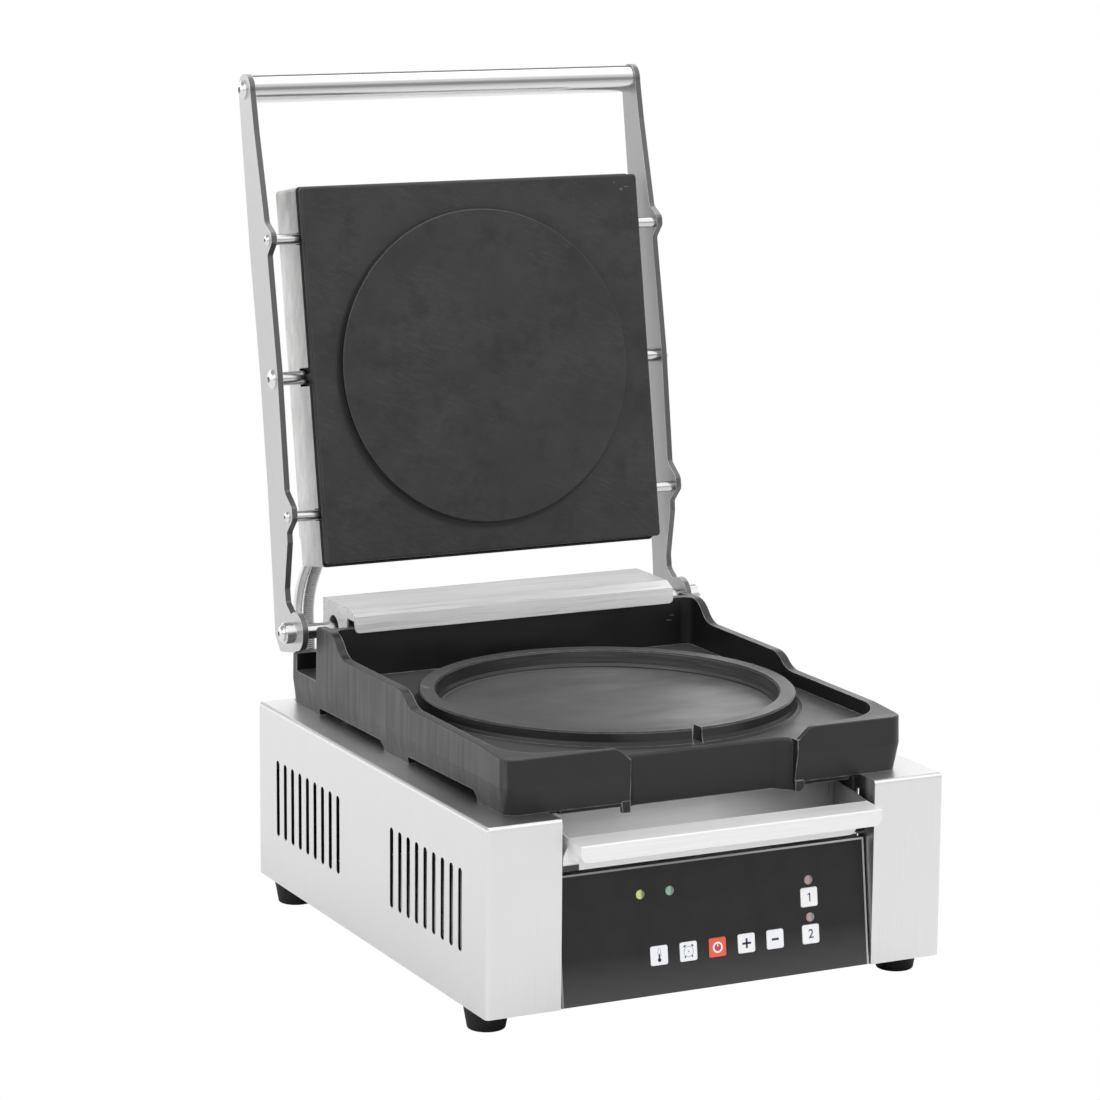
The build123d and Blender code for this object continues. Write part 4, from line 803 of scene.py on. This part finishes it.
# Flexible conduits: swept rings along a smooth line through the route's corners
def smooth_line(points):
    """Points along the NURBS line that has these corners, in metres."""
    curve = bpy.data.curves.new("line", "CURVE")
    curve.dimensions = "3D"
    spline = curve.splines.new("NURBS")
    spline.points.add(len(points) - 1)
    for point, p in zip(spline.points, points):
        point.co = (*p, 1.0)
    spline.order_u = 3
    spline.use_endpoint_u = True
    spline.resolution_u = 24
    made = bpy.data.objects.new("line", curve)
    scene.collection.objects.link(made)
    bpy.context.view_layer.update()
    mesh = bpy.data.meshes.new_from_object(made)
    line = [v.co.copy() for v in mesh.vertices]
    bpy.data.objects.remove(made)
    return line


def even_steps(line, step):
    """The same line with a point at every step of its length."""
    out = [line[0]]
    left = step
    for a, b in zip(line, line[1:]):
        length = (b - a).length
        while length >= left and length > 0:
            a = a + (b - a) * (left / length)
            out.append(a)
            length = (b - a).length
            left = step
        left -= length
    return out


def tube_frames(line):
    """A point and two cross directions at every point of the line, carried along without twist."""
    frames = []
    across = Vector((1, 0, 0))
    for i, p in enumerate(line):
        ahead = (line[min(i + 1, len(line) - 1)] - line[max(i - 1, 0)]).normalized()
        across = (across - ahead * across.dot(ahead)).normalized()
        frames.append((p, across, ahead.cross(across)))
    return frames


def round_about(bm, tube_frame, angles, radii):
    """Points about one place of the line, one for each angle and radius."""
    p, u, v = tube_frame
    return [bm.verts.new(p + (u * cos(a) + v * sin(a)) * r) for a, r in zip(angles, radii)]


def skin(bm, frames, radii, sides):
    """Rings of points along the line, joined by faces. Gives the rings and the faces."""
    angles = [2 * pi * k / sides for k in range(sides)]
    rings = [round_about(bm, place, angles, [r] * sides) for place, r in zip(frames, radii)]
    faces = []
    for a, b in zip(rings, rings[1:]):
        for k in range(sides):
            faces.append(bm.faces.new((a[k], a[(k + 1) % sides], b[(k + 1) % sides], b[k])))
    return rings, faces


def smooth_piece(name, bm, slot):
    """A new object from a finished bmesh, with all faces outward and smooth."""
    bmesh.ops.recalc_face_normals(bm, faces=bm.faces)
    mesh = mesh_from(name, bm)
    mesh.shade_smooth()
    return piece(name, mesh, slot)


def ribbed_tube(name, line, radius, end_radius, pitch, depth, slot):
    """A corrugated hose: the radius goes up and down once in every pitch, and narrows at the low end."""
    steps = 6
    narrowing = 0.03
    bm = bmesh.new()
    frames = tube_frames(even_steps(line, pitch / steps))
    radii = []
    for i in range(len(frames)):
        to_end = min(1.0, (len(frames) - i) * pitch / steps / narrowing)
        groove = depth * (0.5 - 0.5 * cos(2 * pi * i / steps)) ** 1.5
        radii.append(end_radius + (radius - end_radius) * to_end - groove)
    rings = skin(bm, frames, radii, 20)[0]
    bm.faces.new(rings[0][::-1])
    bm.faces.new(rings[-1])
    return smooth_piece(name, bm, slot)


def braided_tube(name, line, radius, slot):
    """A braid of flat wire bands over a core: bands wind both ways and pass over and under."""
    step = 0.0006
    bands = 8
    lead = 0.0125
    half = 0.29 * 2 * pi / bands
    crown_in = 0.00016
    weave = 0.00011
    sag = 0.00012
    core_in = 0.00045
    bm = bmesh.new()
    frames = tube_frames(even_steps(line, step))
    for way in (-1, 1):
        for k in range(bands):
            previous = None
            for i, place in enumerate(frames):
                turn = way * 2 * pi * i * step / lead + 2 * pi * k / bands
                lift = weave * way * sin(bands * i * step / lead * 2 * pi + pi * k)
                crown = radius - crown_in + lift
                angles = (turn - half, turn, turn + half)
                row = round_about(bm, place, angles, (crown - sag, crown, crown - sag))
                if previous:
                    for a in range(2):
                        bm.faces.new((previous[a], previous[a + 1], row[a + 1], row[a]))
                previous = row
    core_faces = skin(bm, frames, [radius - core_in] * len(frames), 12)[1]
    for face in core_faces:
        face.material_index = 1
    made = smooth_piece(name, bm, slot)
    made.data.materials.append(materials["braid_core"].material)
    return made


# The route in Y and Z from just below the outlet box down into the deck, with its turns as shares of
# the way, and how far each corner stands out to the right of the conduit's place in the deck
outlet_gap = 0.75
mid_off = plate_front + housing_back - outlet_depth / 2
start = tilted(outlet_low - outlet_gap, mid_off)
below = tilted(outlet_low - 12.0, mid_off)
drop = mm(0, body_y + 168.5, deck_z + 6.0)
in_deck = mm(0, body_y + 168.5, deck_z - 12.0)
way = below - drop
route_turns = ((1.124, 0.800), (1.096, 0.588), (0.646, 0.353), (0.169, 0.141))
turns = [(drop.y + back * way.y, drop.z + rise * way.z) for back, rise in route_turns]
route_yz = [(start.y, start.z), (below.y, below.z), *turns, (drop.y, drop.z), (in_deck.y, in_deck.z)]
route_out = (15.4, 15.4, 9.3, 6.4, 4.1, 1.6, 0.0, 0.0)
for name, foot_x in (("conduit_braided", -half_w + 26.2), ("conduit_ribbed", -half_w + 34.0)):
    line = smooth_line([Vector(((foot_x + out) * 0.001, y, z)) for out, (y, z) in zip(route_out, route_yz)])
    if name == "conduit_braided":
        hose = braided_tube("conduit_braided_look", line, 0.0032, "conduit_light")
    else:
        hose = ribbed_tube("conduit_ribbed_look", line, 0.0040, 0.0035, 0.0014, 0.0005, "conduit_dark")
    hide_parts(name)
    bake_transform(hose)


# Floor and studio: each shows plain white to the camera, and its own shader to the light
def shown_white(tree, own, white, output):
    path = tree.nodes.new("ShaderNodeLightPath")
    pick = tree.nodes.new("ShaderNodeMixShader")
    white.inputs["Color"].default_value = (1, 1, 1, 1)
    white.inputs["Strength"].default_value = 1.0
    tree.links.new(path.outputs["Is Camera Ray"], pick.inputs[0])
    tree.links.new(own.outputs[0], pick.inputs[1])
    tree.links.new(white.outputs[0], pick.inputs[2])
    tree.links.new(pick.outputs[0], output.inputs["Surface"])


bm = bmesh.new()
bmesh.ops.create_grid(bm, x_segments=2, y_segments=2, size=6.0)
floor = bpy.data.objects.new("floor", mesh_from("floor", bm))
scene.collection.objects.link(floor)
floor_shader = bpy.data.materials.new("floor")
floor_shader.use_nodes = True
floor_nodes = floor_shader.node_tree.nodes
floor_nodes.clear()
diffuse = floor_nodes.new("ShaderNodeBsdfDiffuse")
diffuse.inputs["Color"].default_value = (0.86, 0.86, 0.86, 1)
shown_white(
    floor_shader.node_tree,
    diffuse,
    floor_nodes.new("ShaderNodeEmission"),
    floor_nodes.new("ShaderNodeOutputMaterial"),
)
floor.data.materials.append(floor_shader)

# Studio light: a pale world, in front brightest from halfway up and behind brightest low down, with
# one soft box at the left and one overhead
world = bpy.data.worlds.new("studio")
scene.world = world
world.use_nodes = True
tree = world.node_tree
tree.nodes.clear()
coords = tree.nodes.new("ShaderNodeTexCoord")
split = tree.nodes.new("ShaderNodeSeparateXYZ")
tree.links.new(coords.outputs["Generated"], split.inputs[0])


def sky(stops):
    """Brightness of one half of the studio: pairs of height, 0 level and 1 overhead, and strength."""
    ramp = tree.nodes.new("ShaderNodeValToRGB")
    ramp.color_ramp.interpolation = "EASE"
    while len(ramp.color_ramp.elements) < len(stops):
        ramp.color_ramp.elements.new(0.5)
    for element, (position, level) in zip(ramp.color_ramp.elements, stops):
        element.position = position
        element.color = (level, level, level, 1)
    tree.links.new(split.outputs["Z"], ramp.inputs[0])
    return ramp.outputs[0]


front_sky = sky(((0.0, 0.50), (0.26, 0.50), (0.42, 1.35), (0.88, 1.35), (0.97, 1.0)))
back_sky = sky(((0.0, 1.5), (0.34, 1.5), (0.46, 0.40), (0.90, 0.40), (1.0, 1.0)))
toward_back = tree.nodes.new("ShaderNodeMapRange")
toward_back.inputs["From Min"].default_value = -0.15
toward_back.inputs["From Max"].default_value = 0.15
tree.links.new(split.outputs["Y"], toward_back.inputs["Value"])
halves = tree.nodes.new("ShaderNodeMix")
halves.data_type = "RGBA"
tree.links.new(toward_back.outputs[0], halves.inputs[0])
tree.links.new(front_sky, halves.inputs[6])
tree.links.new(back_sky, halves.inputs[7])
studio = tree.nodes.new("ShaderNodeBackground")
studio.inputs["Strength"].default_value = 1.0
tree.links.new(halves.outputs[2], studio.inputs["Color"])
shown_white(
    tree,
    studio,
    tree.nodes.new("ShaderNodeBackground"),
    tree.nodes.new("ShaderNodeOutputWorld"),
)


def softbox(name, place, target, width, height, power):
    """A rectangular light at a place, aimed at a target."""
    light = bpy.data.lights.new(name, "AREA")
    light.shape = "RECTANGLE"
    light.size = width
    light.size_y = height
    light.energy = power
    made = bpy.data.objects.new(name, light)
    scene.collection.objects.link(made)
    made.location = place
    made.rotation_euler = (Vector(target) - Vector(place)).to_track_quat("-Z", "Y").to_euler()


softbox("left", (-2.6, -0.8, 1.5), (0, 0, 0.15), 1.6, 1.6, 8)
softbox("overhead", (0.2, 0.9, 2.4), (0, 0, 0.1), 2.4, 1.6, 18)
